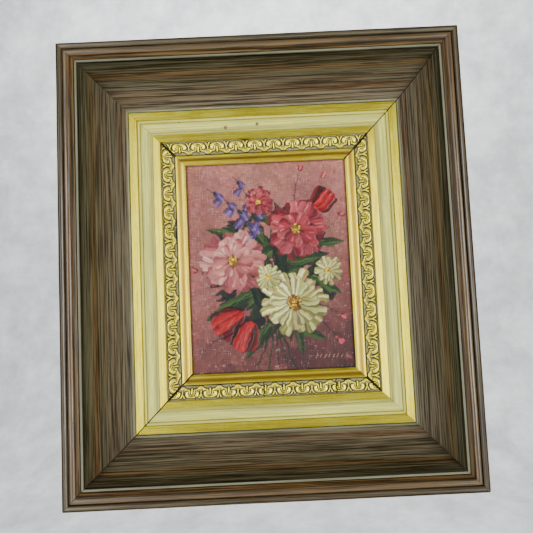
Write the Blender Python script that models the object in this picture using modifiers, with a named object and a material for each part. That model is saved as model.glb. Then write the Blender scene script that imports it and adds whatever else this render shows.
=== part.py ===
"""A small picture in a deep moulded frame, made to hang on a wall.

The frame hangs upright: +X is to the right of someone facing the picture, +Z is up, and the picture faces -Y.
The origin is on the flat of the hanger that the nail in the wall carries, on its wall side, so the whole
object lies at Y <= 0.

Across a rail, a place in the moulding is (in, up): its distance in from the frame's outer edge and its height
above the flat back. One closed section runs round all four rails, which meet on mitres.
"""

import math

import bmesh
import bpy
from mathutils import Matrix, Vector

# Picture opening and the gaps between pieces that touch
SIGHT_WIDTH = 0.0926
SIGHT_HEIGHT = 0.1200
SEAT_GAP = 0.0003
MITRE_GAP = 0.0003
OPEN_MITRE_GAP = 0.0007

# Cap of the moulding: two beads, a slope and a narrow fillet
OUTER_BEAD = 0.0032
OUTER_BEAD_RISE = 0.0017
CAP_QUIRK = 0.0004
INNER_BEAD = 0.0034
INNER_BEAD_RISE = 0.0015
CAP_SLOPE = 0.0016
CAP_SLOPE_DROP = 0.0010
FILLET = 0.0014
COVE_QUIRK = 0.0008
QUIRK_DEPTH = 0.0007
# Where a bead runs into a quirk, it stops this many degrees above its base
QUIRK_ANGLE = 15.0

# The deep cove and the narrow edge at its foot
COVE = 0.0160
COVE_SAGITTA = 0.0026
COVE_EDGE = 0.0006
COVE_EDGE_DROP = 0.0011

# Inner steps, towards the picture
GILT_QUIRK = 0.0006
OUTER_GILT = 0.0041
CREAM_BEAD = 0.0016
CREAM_BEAD_RISE = 0.0006
CREAM_TORUS = 0.0056
CREAM_TORUS_RISE = 0.0010
CREAM_LISTEL = 0.0014
INNER_GILT = 0.0038
BAND = 0.0081
LIP_OUTER_BEAD = 0.0013
LIP_HOLLOW = 0.0020
LIP_INNER_BEAD = 0.0016
SIGHT_ROUND = 0.0005

# Heights above the back of the frame
CAP_HEIGHT = 0.0410
COVE_FOOT_HEIGHT = 0.0152
OUTER_GILT_HEIGHT = 0.0145
CREAM_HEIGHT = 0.0130
INNER_GILT_HEIGHT = 0.0125
BAND_OUTER_HEIGHT = 0.0113
BAND_INNER_HEIGHT = 0.0090
LIP_HEIGHT = 0.0103
LIP_HOLLOW_DEPTH = 0.0006
RABBET_DEPTH = 0.0080
RABBET_WIDTH = 0.0042

# Steps of the rounded stretches of the moulding
BEAD_STEPS = 6
TORUS_STEPS = 5
SMALL_BEAD_STEPS = 3
COVE_STEPS = 7

# Pressed ornament: a strip of scrolls, tongues and shells. Each side was laid and stretched by hand, so it
# has its own pitch, and its own place of the first tongue beside the rail's middle, as a share of that pitch.
STRIP_THICKNESS = 0.0006
RELIEF = 0.0010
TOP_PITCH, TOP_PHASE = 0.0109, 0.50
BOTTOM_PITCH, BOTTOM_PHASE = 0.0103, 0.50
LEFT_PITCH, LEFT_PHASE = 0.0109, 0.00
RIGHT_PITCH, RIGHT_PHASE = 0.0105, 0.65

# Forms of one ornament, as shares of the band's width and, for heights, of the relief
SCROLL_HALF_WIDTH = 0.315
SCROLL_HALF_HEIGHT = 0.285
SCROLL_CENTRE = 0.435
SCROLL_SWEEP = math.radians(120)
SCROLL_STEPS = 18
CROWN_BEAD, ARM_BEAD = 0.05, 0.15
CROWN_SHARE = 0.55
TONGUE_BEAD = 0.068
TONGUE_START, TONGUE_END = 0.27, 0.83
TONGUE_SHARE = 0.8
STEM_BEAD = 0.045
STEM_START, STEM_END = 0.05, 0.60
STEM_SHARE = 0.9
FORK_SPREAD, FORK_END = 0.10, 0.30
SHELL_CENTRE = 0.52
SHELL_RADIUS = 0.44
SHELL_SQUEEZE = 1.15
SHELL_SPREAD = math.radians(52)
SHELL_LOBES = 2.5
SHELL_SCALLOP = 0.12
SHELL_SHARE, SHELL_RIM_SHARE = 0.35, 0.40
SHELL_RIM = 0.16
RELIEF_STEP = 0.0004
FACETS_KEPT = 0.14

# Picture board
BOARD_THICKNESS = 0.0030
BOARD_SIDE_CLEARANCE = 0.0005
BOARD_ARRIS = 0.0003

# Hanger: a sawtooth strip with its middle held off the wood, and two nails
HANGER_DROP = 0.0180
HANGER_LENGTH = 0.0440
HANGER_HEIGHT = 0.0090
HANGER_THICKNESS = 0.0008
HANGER_LIFT = 0.0018
HANGER_TAB = 0.0080
HANGER_RAMP = 0.0030
TOOTH_PITCH = 0.0020
TOOTH_DEPTH = 0.0016
TOOTH_SHARE = 0.9
NAIL_SHANK = 0.0012
NAIL_LENGTH = 0.0090
NAIL_HEAD = 0.0036
NAIL_HEAD_HEIGHT = 0.0009
NAIL_CLEARANCE = 0.0003
NAIL_SIDES = 12

# Closer than this, two points are one
ONE_POINT = 1e-6

# Derived places
STANDOFF = HANGER_LIFT + HANGER_THICKNESS + SEAT_GAP
LIP = LIP_OUTER_BEAD + LIP_HOLLOW + LIP_INNER_BEAD + SIGHT_ROUND
OUTER_GILT_AT = (
    OUTER_BEAD + CAP_QUIRK + INNER_BEAD + CAP_SLOPE + FILLET + COVE_QUIRK + COVE + COVE_EDGE + GILT_QUIRK
)
CREAM_AT = OUTER_GILT_AT + OUTER_GILT
INNER_GILT_AT = CREAM_AT + CREAM_BEAD + CREAM_TORUS + CREAM_LISTEL
BAND_AT = INNER_GILT_AT + INNER_GILT
LIP_AT = BAND_AT + BAND
RAIL_WIDTH = LIP_AT + LIP
FRAME_WIDTH = SIGHT_WIDTH + 2 * RAIL_WIDTH
FRAME_HEIGHT = SIGHT_HEIGHT + 2 * RAIL_WIDTH
CENTRE = Vector((0.0, -STANDOFF, HANGER_DROP - FRAME_HEIGHT / 2))

WOOD, SAGE, CREAM, GILT = range(4)


def material(name, colour, roughness, metallic=0.0):
    made = bpy.data.materials.new(name)
    made.use_nodes = True
    shader = made.node_tree.nodes["Principled BSDF"]
    shader.inputs["Base Color"].default_value = (*colour, 1.0)
    shader.inputs["Roughness"].default_value = roughness
    shader.inputs["Metallic"].default_value = metallic
    made.diffuse_color = (*colour, 1.0)
    return made


def clear_scene():
    for item in list(bpy.data.objects):
        bpy.data.objects.remove(item)


def new_collection(name):
    made = bpy.data.collections.new(name)
    bpy.context.scene.collection.children.link(made)
    return made


def add_object(name, mesh, collection, materials):
    for slot in materials:
        mesh.materials.append(slot)
    made = bpy.data.objects.new(name, mesh)
    collection.objects.link(made)
    return made


def mesh_from(bm, name):
    mesh = bpy.data.meshes.new(name)
    bm.to_mesh(mesh)
    bm.free()
    return mesh


def bead(start, width, base, rise, steps, first=180.0, last=0.0):
    """Points of a rounded bead that starts at `start`, on a base height, between two angles."""
    middle = start + width / 2
    angles = [math.radians(first + (last - first) * i / steps) for i in range(steps + 1)]
    return [(middle + width / 2 * math.cos(a), base + rise * math.sin(a)) for a in angles]


def hollow(start, end, sagitta, steps):
    """Points of a shallow hollow between two points, sunk by `sagitta` towards the back of the moulding."""
    first, last = Vector(start), Vector(end)
    chord = last - first
    inward = Vector((chord.y, -chord.x)).normalized()
    if inward.y > 0:
        inward.negate()
    radius = chord.length**2 / (8 * sagitta) + sagitta / 2
    half_angle = math.asin(chord.length / 2 / radius)
    points = []
    for i in range(steps + 1):
        angle = half_angle * (2 * i / steps - 1)
        along = chord.normalized() * (radius * math.sin(angle))
        sunk = inward * (radius * math.cos(angle) - radius * math.cos(half_angle))
        points.append(tuple((first + last) / 2 + along + sunk))
    return points


def cap_section():
    """The outer side and the double bead, in stained wood."""
    outer_base = CAP_HEIGHT - OUTER_BEAD_RISE
    inner_at = OUTER_BEAD + CAP_QUIRK
    slope_at = inner_at + INNER_BEAD
    slope_end = slope_at + CAP_SLOPE
    inner_base = CAP_HEIGHT - INNER_BEAD_RISE
    points = [(0.0, 0.0)]
    points += bead(0.0, OUTER_BEAD, outer_base, OUTER_BEAD_RISE, BEAD_STEPS, last=QUIRK_ANGLE)
    points += [(OUTER_BEAD, outer_base - QUIRK_DEPTH), (inner_at, outer_base - QUIRK_DEPTH)]
    points += bead(inner_at, INNER_BEAD, inner_base, INNER_BEAD_RISE, BEAD_STEPS, first=180.0 - QUIRK_ANGLE)
    points += [(slope_end, inner_base - CAP_SLOPE_DROP)]
    return points, slope_end, inner_base - CAP_SLOPE_DROP


def moulding_section():
    """The closed section as a list of (finish, point): the finish is that of the face after the point."""
    cap, fillet_at, slope_foot = cap_section()
    fillet_height = slope_foot + QUIRK_DEPTH / 2
    fillet_end = fillet_at + FILLET
    cove_at = fillet_end + COVE_QUIRK
    cove_end = cove_at + COVE
    edge_end = cove_end + COVE_EDGE
    edge_foot = COVE_FOOT_HEIGHT - COVE_EDGE_DROP
    torus_at = CREAM_AT + CREAM_BEAD
    listel_at = torus_at + CREAM_TORUS
    bed_drop = STRIP_THICKNESS + SEAT_GAP
    hollow_at = LIP_AT + LIP_OUTER_BEAD
    inner_bead_at = hollow_at + LIP_HOLLOW
    sight_at = inner_bead_at + LIP_INNER_BEAD
    lip_base = LIP_HEIGHT - LIP_HOLLOW_DEPTH
    section = [(WOOD, p) for p in cap]
    section += [(SAGE, (fillet_at, fillet_height)), (SAGE, (fillet_end, fillet_height))]
    section += [(WOOD, (fillet_end, fillet_height - QUIRK_DEPTH))]
    cove_top, cove_foot = (cove_at, fillet_height - QUIRK_DEPTH), (cove_end, COVE_FOOT_HEIGHT)
    cove = hollow(cove_top, cove_foot, COVE_SAGITTA, COVE_STEPS)
    section += [(WOOD, p) for p in cove[:-1]]
    section += [(SAGE, (cove_end, COVE_FOOT_HEIGHT)), (WOOD, (edge_end, edge_foot))]
    section += [(WOOD, (edge_end, edge_foot - QUIRK_DEPTH)), (GILT, (OUTER_GILT_AT, edge_foot - QUIRK_DEPTH))]
    section += [(GILT, (OUTER_GILT_AT, OUTER_GILT_HEIGHT)), (GILT, (CREAM_AT, OUTER_GILT_HEIGHT))]
    cream_bead = bead(CREAM_AT, CREAM_BEAD, CREAM_HEIGHT, CREAM_BEAD_RISE, SMALL_BEAD_STEPS)
    section += [(CREAM, p) for p in cream_bead]
    torus_ends = {"first": 180.0 - QUIRK_ANGLE, "last": QUIRK_ANGLE}
    torus_base = CREAM_HEIGHT - QUIRK_DEPTH
    torus = bead(torus_at, CREAM_TORUS, torus_base, CREAM_TORUS_RISE, TORUS_STEPS, **torus_ends)
    section += [(CREAM, p) for p in torus]
    section += [(CREAM, (listel_at, torus_base)), (GILT, (INNER_GILT_AT, torus_base - CREAM_BEAD_RISE))]
    section += [(GILT, (INNER_GILT_AT, INNER_GILT_HEIGHT)), (GILT, (BAND_AT, INNER_GILT_HEIGHT))]
    section += [(WOOD, (BAND_AT, BAND_OUTER_HEIGHT - bed_drop))]
    section += [(GILT, (LIP_AT, BAND_INNER_HEIGHT - bed_drop))]
    section += [(GILT, p) for p in bead(LIP_AT, LIP_OUTER_BEAD, lip_base, LIP_HOLLOW_DEPTH, SMALL_BEAD_STEPS)]
    section += [(GILT, (hollow_at + LIP_HOLLOW / 2, lip_base - LIP_HOLLOW_DEPTH))]
    inner_bead = bead(inner_bead_at, LIP_INNER_BEAD, lip_base, LIP_HOLLOW_DEPTH, SMALL_BEAD_STEPS)
    section += [(GILT, p) for p in inner_bead]
    section += [(GILT, (sight_at + SIGHT_ROUND, lip_base - SIGHT_ROUND))]
    section += [(WOOD, (RAIL_WIDTH, RABBET_DEPTH)), (WOOD, (RAIL_WIDTH - RABBET_WIDTH, RABBET_DEPTH))]
    section += [(WOOD, (RAIL_WIDTH - RABBET_WIDTH, 0.0))]
    return section


def cut_mitres(bm, half_length, half_across, left_gap, right_gap):
    """Cuts the mitres at both ends of a bar that lies along X, with its outer edge at Z = half_across."""
    for side, gap in ((-1, left_gap), (1, right_gap)):
        outer = Vector((side * (half_length - MITRE_GAP / math.sqrt(2)), 0.0, half_across))
        inner_x = side * (half_length - RAIL_WIDTH - gap / math.sqrt(2))
        inner = Vector((inner_x, 0.0, half_across - RAIL_WIDTH))
        along = inner - outer
        out_of_rail = Vector((side * abs(along.z), 0.0, -abs(along.x)))
        everything = bm.verts[:] + bm.edges[:] + bm.faces[:]
        bmesh.ops.bisect_plane(
            bm, geom=everything, plane_co=outer, plane_no=out_of_rail, clear_outer=True, dist=ONE_POINT / 10
        )
        rim = [edge for edge in bm.edges if edge.is_boundary]
        bmesh.ops.holes_fill(bm, edges=rim, sides=0)
    bmesh.ops.recalc_face_normals(bm, faces=bm.faces)


def swept_bar(corners, half_length, half_across):
    """A bar along X with the section `corners`, given as (in, up), longer than the rail at both ends."""
    bm = bmesh.new()
    start = -half_length - RAIL_WIDTH
    ring = [bm.verts.new((start, -up, half_across - inward)) for inward, up in corners]
    face = bm.faces.new(ring)
    swept = bmesh.ops.extrude_face_region(bm, geom=[face])
    moved = [item for item in swept["geom"] if isinstance(item, bmesh.types.BMVert)]
    bmesh.ops.translate(bm, verts=moved, vec=(-2 * start, 0.0, 0.0))
    bmesh.ops.recalc_face_normals(bm, faces=bm.faces)
    return bm


def finish_of(face, section, half_across):
    """The finish of the stretch of the section that a long face lies on."""
    centre = face.calc_center_median()
    here = Vector((half_across - centre.z, -centre.y))
    nearest, found = math.inf, WOOD
    for i, (finish, point) in enumerate(section):
        following = section[(i + 1) % len(section)][1]
        middle = (Vector(point) + Vector(following)) / 2
        if (middle - here).length < nearest:
            nearest, found = (middle - here).length, finish
    return found


def rail(name, side, collection, materials):
    """One mitred rail. `side` is its turn about Y, its length and its gaps."""
    section = moulding_section()
    bm = swept_bar([point for _, point in section], side["half_length"], side["half_across"])
    for face in bm.faces:
        if abs(face.normal.x) < 0.5:
            face.material_index = finish_of(face, section, side["half_across"])
    cut_mitres(bm, side["half_length"], side["half_across"], side["left_gap"], side["right_gap"])
    made = add_object(name, mesh_from(bm, name), collection, materials)
    made.location = CENTRE
    made.rotation_euler = (0.0, side["turn"], 0.0)
    return made


def bulge(distance, half_width):
    """The share of its full height that a rounded form has at a distance from its middle line."""
    return math.sqrt(max(0.0, 1.0 - (distance / half_width) ** 2))


def scroll_height(x, down):
    """The scroll: two comma-shaped arms from a thin crown, open towards the picture."""
    height = 0.0
    for i in range(SCROLL_STEPS + 1):
        share = i / SCROLL_STEPS
        angle = SCROLL_SWEEP * share
        arm_x = SCROLL_HALF_WIDTH * BAND * math.sin(angle)
        arm_down = (SCROLL_CENTRE - SCROLL_HALF_HEIGHT * math.cos(angle)) * BAND
        thickness = (CROWN_BEAD + (ARM_BEAD - CROWN_BEAD) * share) * BAND
        rise = CROWN_SHARE + (1.0 - CROWN_SHARE) * share
        height = max(height, rise * bulge(math.hypot(abs(x) - arm_x, down - arm_down), thickness))
    return height


def tongue_height(x, down):
    """The tongue between the two arms: a bead with round ends."""
    middle, half = (TONGUE_START + TONGUE_END) / 2 * BAND, (TONGUE_END - TONGUE_START) / 2 * BAND
    thickness = TONGUE_BEAD * BAND
    past_end = max(0.0, abs(down - middle) - (half - thickness))
    return TONGUE_SHARE * bulge(math.hypot(x, past_end), thickness)


def stem_height(x, down):
    """The stem between two scrolls, forked at its head."""
    if not STEM_START * BAND < down < STEM_END * BAND:
        return 0.0
    lean = min(1.0, max(0.0, (FORK_END * BAND - down) / ((FORK_END - STEM_START) * BAND)))
    thickness = STEM_BEAD * BAND * (1.0 + lean / 2)
    return STEM_SHARE * bulge(abs(x) - FORK_SPREAD * BAND * lean, thickness)


def shell_height(x, down):
    """The shell at the stem's foot: a shallow fan that rises to a scalloped rim."""
    out, fall = abs(x) * SHELL_SQUEEZE, down - SHELL_CENTRE * BAND
    angle = math.atan2(out, fall)
    if angle > SHELL_SPREAD:
        return 0.0
    scallop = 1.0 - SHELL_SCALLOP * (1.0 - abs(math.cos(angle * SHELL_LOBES)))
    share = math.hypot(out, fall) / (SHELL_RADIUS * BAND * scallop)
    if share > 1.0:
        return 0.0
    return (SHELL_SHARE + SHELL_RIM_SHARE * share**3) * min(1.0, (1.0 - share) / SHELL_RIM) ** 0.5


def relief_height(along, down, pitch, phase):
    """Height of the pressed ornament above its ground, at a place on the strip."""
    from_tongue = (along / pitch - phase + 0.5) % 1.0 - 0.5
    from_shell = (from_tongue + 1.0) % 1.0 - 0.5
    tongue_x, shell_x = from_tongue * pitch, from_shell * pitch
    beside_tongue = max(scroll_height(tongue_x, down), tongue_height(tongue_x, down))
    return RELIEF * max(beside_tongue, stem_height(shell_x, down), shell_height(shell_x, down))


def ornament_strip(name, side, collection, gilt):
    """A pressed strip in the rail's bed: its face follows the relief, and its back is flat."""
    half_across, half_length = side["half_across"], side["half_length"]
    reach = half_length - BAND_AT + BAND
    width = BAND - 2 * SEAT_GAP
    fall = math.atan((BAND_OUTER_HEIGHT - BAND_INNER_HEIGHT) / BAND)
    bm = bmesh.new()
    steps_along, steps_across = math.ceil(2 * reach / RELIEF_STEP), math.ceil(width / RELIEF_STEP)
    bmesh.ops.create_grid(bm, x_segments=steps_along, y_segments=steps_across, size=1.0)
    for vert in bm.verts:
        along, down = vert.co.x * reach, (1.0 - vert.co.y) * width / 2 + SEAT_GAP
        edge = abs(vert.co.y) > 1.0 - ONE_POINT
        height = 0.0 if edge else relief_height(along, down, side["pitch"], side["phase"])
        vert.co = (along, -height, -down)
    rim = [edge for edge in bm.edges if edge.is_boundary]
    skirt = bmesh.ops.extrude_edge_only(bm, edges=rim)["geom"]
    for vert in (item for item in skirt if isinstance(item, bmesh.types.BMVert)):
        vert.co.y = STRIP_THICKNESS
    bmesh.ops.holes_fill(bm, edges=[edge for edge in bm.edges if edge.is_boundary], sides=0)
    bed = Matrix.Translation((0.0, -BAND_OUTER_HEIGHT, half_across - BAND_AT)) @ Matrix.Rotation(fall, 4, "X")
    bmesh.ops.transform(bm, verts=bm.verts, matrix=bed)
    cut_mitres(bm, half_length, half_across, side["left_gap"], side["right_gap"])
    strip = add_object(name, mesh_from(bm, name), collection, [gilt])
    strip.location = CENTRE
    strip.rotation_euler = (0.0, side["turn"], 0.0)
    fewer = strip.modifiers.new("fewer facets", "DECIMATE")
    fewer.ratio = FACETS_KEPT
    return strip


def picture_board(collection, paint):
    """The board on which the picture is painted, face against the lip, in the rabbet."""
    spare = RABBET_WIDTH - BOARD_SIDE_CLEARANCE
    bm = bmesh.new()
    bmesh.ops.create_cube(bm, size=1.0)
    size = (SIGHT_WIDTH + 2 * spare, BOARD_THICKNESS, SIGHT_HEIGHT + 2 * spare)
    bmesh.ops.scale(bm, verts=bm.verts, vec=size)
    board = add_object("painting", mesh_from(bm, "painting"), collection, [paint])
    face = RABBET_DEPTH - SEAT_GAP
    board.location = CENTRE + Vector((0.0, -(face - BOARD_THICKNESS / 2), 0.0))
    arris = board.modifiers.new("worn edges", "BEVEL")
    arris.width = BOARD_ARRIS
    arris.segments = 1
    return board


def hanger_strip(collection, hidden, steel):
    """The bent steel strip: two tabs on the wood, two ramps and a raised middle with teeth below."""
    half = HANGER_LENGTH / 2
    flat = half - HANGER_TAB
    middle = flat - HANGER_RAMP
    wood = -STANDOFF + SEAT_GAP
    wall_side = [(-half, wood), (-flat, wood), (-middle, -HANGER_THICKNESS), (middle, -HANGER_THICKNESS)]
    wall_side += [(flat, wood), (half, wood)]
    outline = wall_side + [(x, y + HANGER_THICKNESS) for x, y in reversed(wall_side)]
    bm = bmesh.new()
    ring = [bm.verts.new((x, y, -HANGER_HEIGHT / 2)) for x, y in outline]
    swept = bmesh.ops.extrude_face_region(bm, geom=[bm.faces.new(ring)])
    moved = [item for item in swept["geom"] if isinstance(item, bmesh.types.BMVert)]
    bmesh.ops.translate(bm, verts=moved, vec=(0.0, 0.0, HANGER_HEIGHT))
    bmesh.ops.recalc_face_normals(bm, faces=bm.faces)
    strip = add_object("hanger", mesh_from(bm, "hanger"), collection, [steel])
    bm = bmesh.new()
    count = int(2 * middle / TOOTH_PITCH) - 1
    half_notch = TOOTH_PITCH * TOOTH_SHARE / 2
    for i in range(count):
        tooth = bmesh.ops.create_cone(
            bm, segments=3, cap_ends=True, radius1=1.0, radius2=1.0, depth=4 * STANDOFF
        )["verts"]
        lay = Matrix.Rotation(math.pi / 2, 4, "X") @ Matrix.Rotation(math.pi / 2, 4, "Z")
        bmesh.ops.transform(bm, verts=tooth, matrix=lay)
        bmesh.ops.scale(bm, verts=tooth, vec=(half_notch / math.sin(math.pi / 3), 1.0, TOOTH_DEPTH))
        x = (i - (count - 1) / 2) * TOOTH_PITCH
        bmesh.ops.translate(bm, verts=tooth, vec=(x, 0.0, -HANGER_HEIGHT / 2))
    bmesh.ops.recalc_face_normals(bm, faces=bm.faces)
    teeth = add_object("teeth cutter", mesh_from(bm, "teeth cutter"), hidden, [])
    cut(strip, teeth)
    return strip


def cut(target, cutter):
    cutter.hide_render = True
    cutter.display_type = "WIRE"
    taken = target.modifiers.new(cutter.name, "BOOLEAN")
    taken.operation = "DIFFERENCE"
    taken.object = cutter


def round_bar(name, radius, near, far, x, collection, materials):
    """A round bar along Y from `near` to `far`, level with the hanger."""
    bm = bmesh.new()
    bmesh.ops.create_cone(
        bm, segments=NAIL_SIDES, cap_ends=True, radius1=radius, radius2=radius, depth=abs(far - near)
    )
    lay = Matrix.Translation((x, (near + far) / 2, 0.0)) @ Matrix.Rotation(math.pi / 2, 4, "X")
    bmesh.ops.transform(bm, verts=bm.verts, matrix=lay)
    return add_object(name, mesh_from(bm, name), collection, materials)


def hanger_nail(name, x, pieces, hanger, wood_rail, hidden, steel):
    """A nail through a tab of the hanger into the top rail, with its bores in both."""
    tab_face = -STANDOFF + SEAT_GAP + HANGER_THICKNESS
    seat = tab_face + SEAT_GAP
    tip = -STANDOFF - NAIL_LENGTH
    bore = NAIL_SHANK / 2 + NAIL_CLEARANCE
    for target in (hanger, wood_rail):
        cutter = round_bar(f"{name} bore in {target.name}", bore, seat, tip - SEAT_GAP, x, hidden, [])
        cut(target, cutter)
    profile = [(0.0, tip), (NAIL_SHANK / 2, tip + NAIL_SHANK), (NAIL_SHANK / 2, seat), (NAIL_HEAD / 2, seat)]
    profile += [(NAIL_HEAD / 2, seat + NAIL_HEAD_HEIGHT / 3), (NAIL_HEAD / 4, seat + NAIL_HEAD_HEIGHT)]
    profile += [(0.0, seat + NAIL_HEAD_HEIGHT)]
    bm = bmesh.new()
    line = [bm.verts.new((radius, y, 0.0)) for radius, y in profile]
    edges = [bm.edges.new(pair) for pair in zip(line[:-1], line[1:])]
    bmesh.ops.spin(
        bm,
        geom=line + edges,
        cent=(0.0, 0.0, 0.0),
        axis=(0.0, 1.0, 0.0),
        angle=2 * math.pi,
        steps=NAIL_SIDES,
    )
    bmesh.ops.remove_doubles(bm, verts=bm.verts, dist=ONE_POINT)
    bmesh.ops.recalc_face_normals(bm, faces=bm.faces)
    nail = add_object(name, mesh_from(bm, name), pieces, [steel])
    nail.location.x = x
    return nail


def sides():
    """Turn about Y, half length, half width across and mitre gaps of each rail, seen from the front."""
    half_width, half_height = FRAME_WIDTH / 2, FRAME_HEIGHT / 2
    upright = {"half_length": half_height, "half_across": half_width}
    level = {"half_length": half_width, "half_across": half_height}
    shut, apart = MITRE_GAP, OPEN_MITRE_GAP
    return {
        "top": {
            **level,
            "turn": 0.0,
            "left_gap": shut,
            "right_gap": apart,
            "pitch": TOP_PITCH,
            "phase": TOP_PHASE,
        },
        "right": {
            **upright,
            "turn": math.pi / 2,
            "left_gap": apart,
            "right_gap": shut,
            "pitch": RIGHT_PITCH,
            "phase": RIGHT_PHASE,
        },
        "bottom": {
            **level,
            "turn": math.pi,
            "left_gap": shut,
            "right_gap": apart,
            "pitch": BOTTOM_PITCH,
            "phase": BOTTOM_PHASE,
        },
        "left": {
            **upright,
            "turn": -math.pi / 2,
            "left_gap": apart,
            "right_gap": shut,
            "pitch": LEFT_PITCH,
            "phase": LEFT_PHASE,
        },
    }


def build():
    clear_scene()
    pieces = new_collection("framed painting")
    hidden = new_collection("cutters")
    hidden.hide_render = True
    wood = material("stained wood", (0.13, 0.09, 0.055), 0.55)
    sage = material("grey-green paint", (0.22, 0.23, 0.16), 0.60)
    cream = material("cream paint", (0.56, 0.52, 0.31), 0.55)
    gilt = material("gilt", (0.78, 0.62, 0.20), 0.35, 0.8)
    dull_gilt = material("gilt composition", (0.55, 0.47, 0.20), 0.45, 0.5)
    paint = material("oil paint", (0.55, 0.25, 0.25), 0.45)
    steel = material("steel", (0.55, 0.53, 0.48), 0.35, 1.0)
    rails = {}
    for where, side in sides().items():
        rails[where] = rail("rail_" + where, side, pieces, [wood, sage, cream, gilt])
        ornament_strip("ornament_" + where, side, pieces, dull_gilt)
    picture_board(pieces, paint)
    hanger = hanger_strip(pieces, hidden, steel)
    nail_at = HANGER_LENGTH / 2 - HANGER_TAB / 2
    for name, x in (("hanger_nail_left", -nail_at), ("hanger_nail_right", nail_at)):
        hanger_nail(name, x, pieces, hanger, rails["top"], hidden, steel)


build()
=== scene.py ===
# %% [markdown]
# # A small picture in a deep moulded frame
#
# This lesson dresses a picture frame that already exists as plain solids. The solids fix every size: four
# mitred rails, four pressed strips of ornament, a painted board and a toothed hanger. Here each of them gets
# the surface that the real one has: brushed and stained wood, rubbed paint, worn gilding, and oil paint.

# %% Load the frame
import math

import bmesh
import bpy
import numpy as np
from mathutils import Matrix, Vector


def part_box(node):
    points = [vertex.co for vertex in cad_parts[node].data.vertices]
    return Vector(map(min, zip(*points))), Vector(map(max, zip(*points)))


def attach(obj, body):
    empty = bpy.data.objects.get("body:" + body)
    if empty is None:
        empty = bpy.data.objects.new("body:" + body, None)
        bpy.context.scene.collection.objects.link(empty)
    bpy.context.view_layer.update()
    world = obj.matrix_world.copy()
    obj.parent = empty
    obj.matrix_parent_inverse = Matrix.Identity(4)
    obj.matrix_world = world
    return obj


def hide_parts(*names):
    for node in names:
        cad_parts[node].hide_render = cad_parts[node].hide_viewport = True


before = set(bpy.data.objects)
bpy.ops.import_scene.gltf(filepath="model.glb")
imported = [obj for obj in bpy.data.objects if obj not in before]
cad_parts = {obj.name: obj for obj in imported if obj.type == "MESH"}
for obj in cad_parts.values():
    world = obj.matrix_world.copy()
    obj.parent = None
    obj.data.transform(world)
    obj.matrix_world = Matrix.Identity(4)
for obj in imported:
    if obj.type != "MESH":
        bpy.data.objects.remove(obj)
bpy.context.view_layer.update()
print("nodes:", sorted(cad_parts))

# %% [markdown]
# ## Where things are
#
# The frame hangs upright and the picture faces -Y. The centre, the outer size and the width of a rail are
# read from the solids, so that nothing here has to be fitted. A place in the moulding is (in, up): how far in
# from the outer edge, and how high above the flat back.

# %% Sizes read from the frame
LEFT_LOW, LEFT_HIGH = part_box("rail_left")
TOP_LOW, TOP_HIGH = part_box("rail_top")
BOTTOM_LOW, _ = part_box("rail_bottom")
HALF_WIDTH = -LEFT_LOW.x
HALF_HEIGHT = (TOP_HIGH.z - BOTTOM_LOW.z) / 2
RAIL_WIDTH = LEFT_HIGH.x - LEFT_LOW.x
CAP_HEIGHT = TOP_HIGH.y - TOP_LOW.y
CENTRE = Vector((0.0, TOP_HIGH.y, TOP_HIGH.z - HALF_HEIGHT))
print(f"outside {2 * HALF_WIDTH:.4f} x {2 * HALF_HEIGHT:.4f} m")
print(f"rails {RAIL_WIDTH:.4f} m wide and {CAP_HEIGHT:.4f} m high")

# %% [markdown]
# ## The camera
#
# The camera looks almost straight at the picture from about 23 cm in front of the cap, a little turned and
# tipped. Its lens, its small shift and its turns come from matching the moulding's own straight lines, which
# makes the far steps of the moulding fall where the near ones say they should.

# %% The camera
IMAGE_SIDE = 533
FOCAL_PIXELS = 443.4
MIDDLE_PIXEL = (292.4, 268.3)
CAMERA_TURNS = (math.radians(-3.52), math.radians(-0.11), math.radians(-2.69))
CAMERA_OFFSET = Vector((-0.0131, -0.0036, 0.2249))
CAMERA_LEVEL = 0.0375


def add_object(name, data):
    made = bpy.data.objects.new(name, data)
    bpy.context.scene.collection.objects.link(made)
    return made


def add_camera():
    """The camera's axes run right, down and away from it; the frame's run right, towards the wall, and up."""
    tip, turn, roll = (Matrix.Rotation(a, 3, axis) for a, axis in zip(CAMERA_TURNS, "XYZ"))
    seen = roll @ turn @ tip
    to_frame = Matrix(((1, 0, 0), (0, 0, 1), (0, -1, 0)))
    right, down, away = (to_frame @ Vector(seen[i]) for i in range(3))
    place = CENTRE + Vector((0, -CAMERA_LEVEL, 0)) - to_frame @ (seen.transposed() @ CAMERA_OFFSET)
    camera = add_object("camera", bpy.data.cameras.new("camera"))
    turned = Matrix((right, -down, -away)).transposed().to_4x4()
    camera.matrix_world = Matrix.Translation(place) @ turned
    camera.data.lens = FOCAL_PIXELS / IMAGE_SIDE * camera.data.sensor_width
    camera.data.shift_x = 0.5 - MIDDLE_PIXEL[0] / IMAGE_SIDE
    camera.data.shift_y = MIDDLE_PIXEL[1] / IMAGE_SIDE - 0.5
    bpy.context.scene.camera = camera
    return camera


camera = add_camera()
print("camera at", [round(c, 3) for c in camera.matrix_world.translation])

# %% [markdown]
# ## A plain pale room
#
# The floor sweeps up into a wall well behind the frame, so the frame can also be looked at from behind. It is
# one sheet, because a seam between floor and wall would draw a line across the picture.

# %% The floor and the wall
FLOOR_DROP = 0.62
WALL_BEHIND = 1.5
SWEEP_RADIUS = 0.5
ROOM_HALF_WIDTH = 5.0
ROOM_FRONT = -4.0
ROOM_HEIGHT = 3.5
SWEEP_STEPS = 16


def put(tree, kind, feeds=None, **settings):
    """Adds a node, sets its options, and feeds its inputs with values or with other nodes' outputs."""
    made = tree.nodes.new(kind)
    for option, value in settings.items():
        setattr(made, option, value)
    for socket, value in (feeds or {}).items():
        if isinstance(value, bpy.types.NodeSocket):
            tree.links.new(value, made.inputs[socket])
        else:
            made.inputs[socket].default_value = value
    return made


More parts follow.
